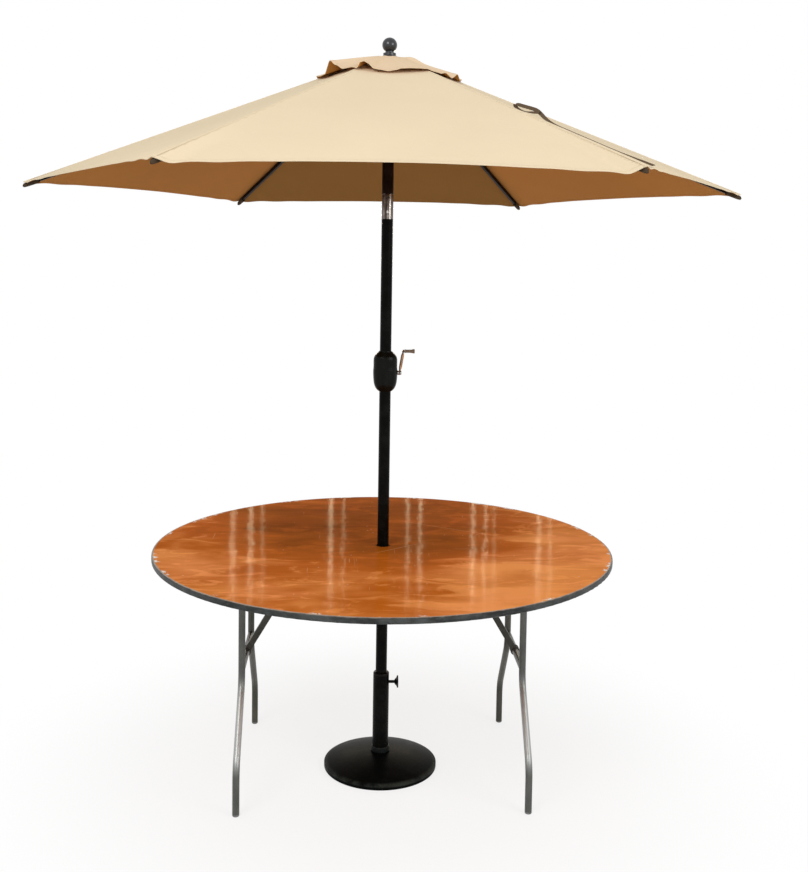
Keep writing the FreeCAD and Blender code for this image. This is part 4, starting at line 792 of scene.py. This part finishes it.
class OBJECT_OT_crank_arm(bpy.types.Operator):
    """Make the crank's twisted bar with its boss and rivet, in place of the plain one"""
    bl_idname = "object.crank_arm"
    bl_label = "Crank Arm"

    around = np.linspace(0, 2 * math.pi, 33)[None, :-1]

    def execute(self, context):
        low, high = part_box("crank_arm")
        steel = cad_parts["crank_shaft"].data.materials[0]
        # Middles of the bar at the boss on the shaft and at the stud under the grip.
        foot = np.array([low.x + 0.0065, 0.0, low.z + 0.0075])
        head = foot + (0.012, 0.0, 0.072)
        self.bar(foot, head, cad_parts["crank_arm"].data.materials[0])
        flutes = 1 + 0.02 * np.cos(self.around * 12)
        self.lathe("crank_boss", (low.x, 0.0, foot[2]), flutes, steel, (
            (0.0, 0.0066), (0.0008, 0.0075), (0.007, 0.0075), (0.0078, 0.007), (0.0122, 0.007),
            (0.013, 0.0062)))
        end = high.x - head[0]
        self.lathe("crank_stud", head, 1.0, steel, (
            (-0.0045, 0.003), (-0.0041, 0.0038), (-0.0034, 0.0042), (-0.002, 0.0042), (0.0068, 0.0026),
            (end - 0.0006, 0.0026), (end, 0.002)))
        return {"FINISHED"}

    def bar(self, foot, head, material):
        """A rounded box's section, carried on the line from foot to head and a little beyond both, and
        turned by 40 degrees in between. It is wider round the boss and the stud, and narrows at the
        ends."""
        length = 0.07299
        start = -0.1
        end = 1.075
        t = np.linspace(start, end, 60)[:, None]
        to_end = np.abs(2 * t - start - end) / (end - start)
        wide = 0.0062 + 0.0018 * np.exp(-(t / 0.12) ** 2) + 0.0006 * np.exp(-((t - 1) / 0.08) ** 2)
        wide = wide * np.sqrt(np.clip(1 - to_end ** 14, 0.003, 1))
        thick = 0.0026 * np.clip(1 - to_end ** 30, 0.2, 1)
        turn = math.radians(40) * smooth(t / 0.3) * smooth((1 - t) / 0.22)
        ahead = unit(head - foot)
        across = np.array([0.0, 1.0, 0.0])
        normal = np.cross(across, ahead)
        side = across * np.cos(turn) + normal * np.sin(turn)
        face = normal * np.cos(turn) - across * np.sin(turn)
        c, s = rounded(self.around, 0.45)
        grid = foot + ahead * (t * length)[..., None] + side[:, None] * (wide * c)[..., None]
        grid = grid - face[:, None] * (thick * s)[..., None]
        # Painted shade: the narrow faces of the bar take the darker edge colour.
        edge = smooth((np.abs(np.cos(self.around)) - 0.55) / 0.25)
        self.closed("crank_bar", grid, material, {"edge": np.broadcast_to(edge, grid.shape[:2])})

    def lathe(self, name, place, flutes, material, profile):
        """A profile of (distance along X, radius) turned round the X axis. flutes scales the radius."""
        x, r = np.array(profile).T[:, :, None]
        a = self.around
        grid = np.stack([x + 0 * a, r * np.cos(a) * flutes, r * np.sin(a) * flutes], -1)
        self.closed(name, grid + np.array(place), material)

    def closed(self, name, grid, material, attributes=()):
        """Closes a tube of points with a cap at each end and hangs it on the crank."""
        rows, columns = grid.shape[:2]
        first = np.arange(columns)
        sides = list(grid_faces(rows, columns, 0, True, True))
        caps = [first[::-1], first + (rows - 1) * columns]
        made = piece(name, grid, sides + caps, [material], attributes=attributes)
        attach(made, "crank")
        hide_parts("crank_arm")


class OBJECT_OT_canopy_gores(bpy.types.Operator):
    """Make the six gores of the canopy, each in two halves that meet on a rib's seam"""
    bl_idname = "object.canopy_gores"
    bl_label = "Canopy Gores"

    # How much of the light shines through each sunlit gore.
    sunny = {1: 0.95, 3: 0.85, 6: 0.5, 4: 0.35}
    # Keeps the weave's slubs from looking alike in all gores.
    weave_shift = np.array([0.37, 0.11])

    def execute(self, context):
        sizes = settings().canopy
        colours = settings().cloth
        # The lower skin's colour is painted shade, and its through colour is painted light shining
        # through the sunny gores.
        skins = [canvas("canopy_top", colours.top),
                 canvas("canopy_under", colours.under, 0.88, through=colours.through)]
        for number in range(1, RIBS + 1):
            for way, hand in SIDES:
                gore = number if way > 0 else (number - 2) % RIBS + 1
                grid, uv, to_hem, to_seam = half_gore(sizes, way, number)
                shares = {"to_hem": to_hem, "to_seam": to_seam,
                          "through": self.sunny.get(gore, 0.0) * smooth(0.4 + to_seam * 9)}
                over = hemmed(grid, to_hem, width=0.013, thickness=sizes.thickness, extra=0.9)
                made = cloth("canopy_%d_%s" % (number, hand), number, grid, over, skins,
                             uv + self.weave_shift * gore, shares, way < 0)
                hang(made, sizes, way, number, "canopy_%d" % number)
                round(surface_area(grid), 3)
        return {"FINISHED"}


class OBJECT_OT_ridge_seams(bpy.types.Operator):
    """Make the felled seams that run down the ribs and the pockets over the ribs' ends"""
    bl_idname = "object.ridge_seams"
    bl_label = "Ridge Seams"

    # The seam's section: its half width, shares of it, and the height over the cloth at each.
    half_width = 0.0055
    places = np.array([-1.0, -0.93, -0.5, -0.12, 0.0, 0.12, 0.5, 0.93, 1.0])
    crown = np.array([0.0, 0.0006, 0.0009, 0.0009, 0.0008, 0.0009, 0.0009, 0.0006, 0.0])

    def execute(self, context):
        sizes = settings().canopy
        colours = settings().cloth
        seam = canvas("seam_cloth", tinted(colours.top, 0.97), hem=False)
        # The pockets' dark brown is painted shade: it stands in for the shadow at the canopy's corners.
        dark = canvas("pocket_cloth", tinted(colours.strap, 0.6), 0.85, hem=False)
        for number in range(1, RIBS + 1):
            self.seam(sizes, number, seam)
            self.pocket(sizes, number, dark)
        return {"FINISHED"}

    def finished(self, made, number):
        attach(made, "rib_%d" % number)

    def seam(self, sizes, number, material):
        """A strip on the ridge: the cloth's flat plus the crown, puckered by a wavering sine."""
        down = np.linspace(sizes.hole, sizes.radius - 0.001, 90)
        x, y = np.meshgrid(down, self.places * self.half_width, indexing="ij")
        base = gore_fall(sizes, x, y) + sizes.thickness * 1.05
        pucker = 0.00018 * np.sin(x * 560 + 3 * np.sin(x * 31)) * (np.abs(y) > 0.002)
        over = np.stack([x, y, base + self.crown + pucker + 0.0001], -1)
        under = np.stack([x, y, base - 0.0003], -1)
        uv = np.stack([y, x / math.cos(sizes.slope)], -1)
        self.finished(cloth("seam_%d" % number, number, under, over, [material] * 2, uv), number)

    def pocket(self, sizes, number, material):
        """A pocket round a rib's end: a flattened sleeve whose section is a rounded box, drawn in
        towards its closed tip. Its middle lies below the cloth."""
        inner = sizes.radius - 0.052
        length = 0.055
        half_width = 0.0072
        half_height = 0.0086
        below = 0.0115
        s = np.linspace(0, 1, 14)[:, None]
        taper = (1 - 0.2 * s ** 2) * np.sqrt(np.clip(1 - s ** 14, 0, 1))
        c, q = rounded(np.linspace(0, 2 * math.pi, 29)[None, :-1], 0.6)
        x = inner + length * s
        x, y, z = np.broadcast_arrays(x, half_width * taper * c, half_height * taper * q)
        grid = np.stack([x, y, gore_fall(sizes, x, 0.0) - below + z], -1)
        rows, columns = grid.shape[:2]
        last = np.arange(columns) + (rows - 1) * columns
        tip = np.full(columns, rows * columns)
        closing = np.stack([tip, last, np.roll(last, -1)], -1)[:, ::-1]
        points = np.concatenate([grid.reshape(-1, 3), grid[-1].mean(0)[None]])
        sides = list(grid_faces(rows, columns, 0, True, True))
        made = piece("pocket_%d" % number, turned(points, number), sides + list(closing), [material],
                     uv=points[:, 1::-1])
        made.modifiers.new("wall", "SOLIDIFY").thickness = 0.0009
        self.finished(made, number)


class OBJECT_OT_vent_cap(bpy.types.Operator):
    """Make the cap over the wind vent: a crown round the finial, and ruffled flaps that hang on the ribs
    """
    bl_idname = "object.vent_cap"
    bl_label = "Vent Cap"

    def execute(self, context):
        sizes = settings().canopy
        vent = settings().vent
        colours = settings().cloth
        # The cap's underside is the canopy's painted shade, lightened.
        skins = [canvas("vent_top", colours.vent), canvas("vent_under", tinted(colours.under, 2.1), 0.9)]
        for number in range(1, RIBS + 1):
            halves = [vent_grid(sizes, vent, way, number, vent.bore, vent.crown, 14) for way in (-1, 1)]
            grid, uv, to_hem, to_seam = (np.concatenate([r[:, :0:-1], l], 1) for r, l in zip(*halves))
            crown = cloth("vent_crown_%d" % number, number, grid, lifted(grid, 0.001), skins, uv,
                          {"to_hem": to_hem, "to_seam": to_seam})
            tuple(turned((0.016, 0, 2.38), number))
            tuple(turned((0.07, 0, 2.37), number))
            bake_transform(crown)
            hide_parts("canopy_%d" % number)
            round(surface_area(grid), 5)
            for way, hand in SIDES:
                grid, uv, to_hem, to_seam = vent_grid(
                    sizes, vent, way, number, vent.crown - 0.008, vent.radius, 46)
                over = hemmed(grid, to_hem, width=0.01, thickness=0.0009, extra=0.8)
                flap = cloth("vent_flap_%d_%s" % (number, hand), number, grid, over, skins, uv,
                             {"to_hem": to_hem, "to_seam": to_seam}, way < 0)
                hang(flap, sizes, way, number, "canopy_%d" % number)
                round(surface_area(grid), 4)
        return {"FINISHED"}


class OBJECT_OT_closing_strap(bpy.types.Operator):
    """Make the closing strap that lies beside the front right rib, looped at one end and twisted"""
    bl_idname = "object.closing_strap"
    bl_label = "Closing Strap"

    width = 0.011
    columns = 7
    # Distance down the rib and beside it, height over the cloth, and the twist in degrees.
    spots = np.array([
        (0.793, 0.013, 0.0165, 62), (0.775, 0.014, 0.0112, 48), (0.755, 0.014, 0.007, 30),
        (0.733, 0.014, 0.0034, 12), (0.712, 0.014, 0.0026, 10), (0.693, 0.014, 0.0042, 24),
        (0.684, 0.014, 0.0086, 44), (0.692, 0.016, 0.0122, 54), (0.716, 0.017, 0.0142, 58),
        (0.742, 0.018, 0.0162, 62), (0.764, 0.019, 0.0176, 64), (0.78, 0.02, 0.0164, 62),
        (0.798, 0.021, 0.0116, 52), (0.818, 0.023, 0.0056, 32), (0.84, 0.027, 0.0026, 12),
        (0.868, 0.03, 0.0018, 3), (0.905, 0.032, 0.0018, 1), (0.945, 0.034, 0.0016, 1),
        (0.994, 0.038, 0.0018, 0), (1.049, 0.043, 0.0016, 1), (1.103, 0.048, 0.002, 3),
        (1.15, 0.0525, 0.0028, 12), (1.18, 0.055, 0.0034, 20), (1.2165, 0.058, 0.004, 24)])

    def execute(self, context):
        """The strap is a ribbon on a smooth line through the spots, whose height is measured square to
        the gore's flat and whose width is turned by the twist from sideways to upright."""
        sizes = settings().canopy
        webbing = canvas("strap_webbing", settings().cloth.strap, 0.85, hem=False)
        x, y, up, twist = eased_path(self.spots * (math.cos(sizes.slope), 1, 1, 1), 230).T
        fall = math.tan(sizes.slope)
        normal = unit(np.array([fall, fall * math.tan(HALF), 1.0]))
        sideways = unit(np.cross(normal, (1.0, 0.0, -fall)))
        path = np.stack([x, y, gore_fall(sizes, x, y)], -1) + normal * (up[:, None] + 0.001)
        lean = np.radians(twist)[:, None]
        side = sideways * np.cos(lean) + normal * np.sin(lean)
        under, over = ribbon(path, side, self.width, 0.0012, self.columns)
        down = np.concatenate([[0], np.cumsum(np.linalg.norm(np.diff(path, axis=0), axis=1))])
        across = np.linspace(-self.width / 2, self.width / 2, self.columns)
        uv = np.stack(np.broadcast_arrays(across[None, :], down[:, None]), -1)
        strap = cloth("strap", RIBS, under, over, [webbing] * 2, uv, angle=50)
        hang(strap, sizes, 1, RIBS, "closing_strap")
        return {"FINISHED"}


class OBJECT_OT_studio(bpy.types.Operator):
    """Set up the pale floor, the soft lamps, the white surroundings and the camera"""
    bl_idname = "object.studio"
    bl_label = "Studio"

    # Thin lamps behind the table that gleam in its varnish: their place along Y and the one that they
    # light, and each one's place along X, width and brightness.
    behind = 5.0
    aim = -2.0
    strips = ((-1.02, 0.035, 0.8), (-0.88, 0.03, 1.0), (-0.79, 0.018, 0.6), (-0.25, 0.03, 1.0),
              (-0.15, 0.018, 0.6), (0.36, 0.022, 0.8), (0.46, 0.022, 1.0), (0.88, 0.026, 1.0),
              (0.98, 0.02, 0.9), (1.05, 0.014, 0.6), (1.41, 0.026, 0.9), (1.5, 0.018, 0.7))

    def execute(self, context):
        scene = context.scene
        light = settings().stage
        scene.view_settings.view_transform = "Standard"
        self.floor()
        self.sky(scene, light.daylight)
        self.lamp("key_lamp", (2.6, 2.0), light.key, (-2.6, -4.2, 4.6), (0, 0, 1.4))
        self.lamp("fill_lamp", (2.4, 2.4), light.key * 0.64, (3.6, -3.4, 3.2), (0, 0, 1.3))
        for k, (x, wide, share) in enumerate(self.strips):
            for tall, level, gain in ((0.9, 2.06, 1.0), (0.6, 2.36, 0.7)):
                power = light.strips * gain * share * wide * tall * math.pi
                self.lamp("strip_%d" % k, (wide, tall), power, (x, self.behind, level),
                          (x * 0.9, self.aim, level - 0.56), (1.0, 0.82, 0.52))
        self.camera(scene)
        return {"FINISHED"}

    def floor(self):
        """A wide square under the object, which the camera sees lit to white away from the shadow."""
        floor = Finish("studio_floor", 0.1)
        x, y = floor.split()[:2]
        away = (x * x + y * y).math("SQRT")
        floor.done(floor.mix(floor.noise(EVEN, 3.0, 3.0), (0.86, 0.86, 0.85), (0.89, 0.89, 0.885)), 0.9)
        glow = floor.node("ShaderNodeEmission", (), {"Color": (1, 1, 1), "Strength": 1.0})
        share = floor.seen() * away.eased(0.5, 1.5, 0.76, 1.0)
        floor.surface(floor.node("ShaderNodeMixShader", (), {0: share, 1: floor.shaded, 2: glow}))
        reach = 30
        level = CAD_BOX[0].z - 0.0005
        corners = [(reach * x, reach * y, level) for x, y in ((-1, -1), (1, -1), (1, 1), (-1, 1))]
        piece("studio_floor", corners, [[0, 1, 2, 3]], [floor.material])

    def sky(self, scene, daylight):
        """Even light from all round, which the camera sees as white."""
        sky = Finish("studio_sky", world=True)
        dim, white = (sky.node("ShaderNodeBackground", (), {"Color": colour, "Strength": strength})
                      for colour, strength in (((0.97, 0.985, 1.0), daylight), ((1, 1, 1), 1.0)))
        sky.surface(sky.node("ShaderNodeMixShader", (), {0: sky.seen(), 1: dim, 2: white}))
        scene.world = sky.material

    def lamp(self, name, size, power, place, target, colour=(1, 1, 1)):
        light = bpy.data.lights.new(name, "AREA")
        light.shape = "RECTANGLE"
        light.size, light.size_y = size
        light.energy = power
        light.color = colour
        made = bpy.data.objects.new(name, light)
        bpy.context.scene.collection.objects.link(made)
        made.location = place
        made.rotation_euler = (Vector(target) - Vector(place)).to_track_quat("-Z", "Y").to_euler()
        made.visible_camera = False

    def camera(self, scene):
        """The photograph's camera. Its focal length, horizon and height are in the picture's pixels."""
        focal = 1111.9
        horizon = 337.5
        height = 872
        cam = bpy.data.cameras.new("photo_camera")
        cam.sensor_fit = "AUTO"
        cam.sensor_width = 36.0
        cam.lens = cam.sensor_width * focal / height
        cam.shift_y = (horizon - height / 2) / height
        cam.clip_end = 100
        eye = bpy.data.objects.new("photo_camera", cam)
        scene.collection.objects.link(eye)
        pan = Matrix.Rotation(-0.0493, 3, "Z")
        tilt = Matrix.Rotation(-0.0709, 3, "X")
        roll = Matrix.Rotation(-0.0148, 3, "Y")
        right, ahead, up = (pan @ tilt @ roll).col
        look = Matrix((right, up, -ahead)).transposed().to_4x4()
        look.translation = (-0.1212, -3.6889, 1.727)
        eye.matrix_world = look
        scene.camera = eye


class UmbrellaTableSettings(bpy.types.PropertyGroup):
    canopy: PointerProperty(type=CanopySizes, name="Canopy", description="Sizes of the gores")
    vent: PointerProperty(type=VentSizes, name="Vent", description="Sizes of the vent cap")
    cloth: PointerProperty(type=ClothColours, name="Cloth", description="Colours of the cloth")
    table: PointerProperty(type=TableColours, name="Table", description="Colours of the table")
    stage: PointerProperty(type=StageSettings, name="Stage", description="Strength of the light")


STEPS = (OBJECT_OT_table_finishes, OBJECT_OT_crank_arm, OBJECT_OT_canopy_gores, OBJECT_OT_ridge_seams,
         OBJECT_OT_vent_cap, OBJECT_OT_closing_strap, OBJECT_OT_studio)


class VIEW3D_PT_umbrella_table(bpy.types.Panel):
    bl_label = "Umbrella Table"
    bl_idname = "VIEW3D_PT_umbrella_table"
    bl_space_type = "VIEW_3D"
    bl_region_type = "UI"
    bl_category = "Umbrella Table"

    def draw(self, context):
        groups = context.scene.umbrella_table
        for key in ("canopy", "vent", "cloth", "table", "stage"):
            box = self.layout.box()
            box.label(text=key.title())
            group = getattr(groups, key)
            for name in group.__annotations__:
                box.prop(group, name)
        for step in STEPS:
            self.layout.operator(step.bl_idname)


CLASSES = (CanopySizes, VentSizes, ClothColours, TableColours, StageSettings, UmbrellaTableSettings,
           *STEPS, VIEW3D_PT_umbrella_table)


def register():
    for item in CLASSES:
        bpy.utils.register_class(item)
    bpy.types.Scene.umbrella_table = PointerProperty(
        type=UmbrellaTableSettings, name="Umbrella table", description="Its sizes, colours and light")


def unregister():
    del bpy.types.Scene.umbrella_table
    for item in reversed(CLASSES):
        bpy.utils.unregister_class(item)


def main():
    register()
    bpy.ops.object.table_finishes()
    bpy.ops.object.crank_arm()
    bpy.ops.object.canopy_gores()
    bpy.ops.object.ridge_seams()
    bpy.ops.object.vent_cap()
    bpy.ops.object.closing_strap()
    bpy.ops.object.studio()


if __name__ == "__main__":
    main()
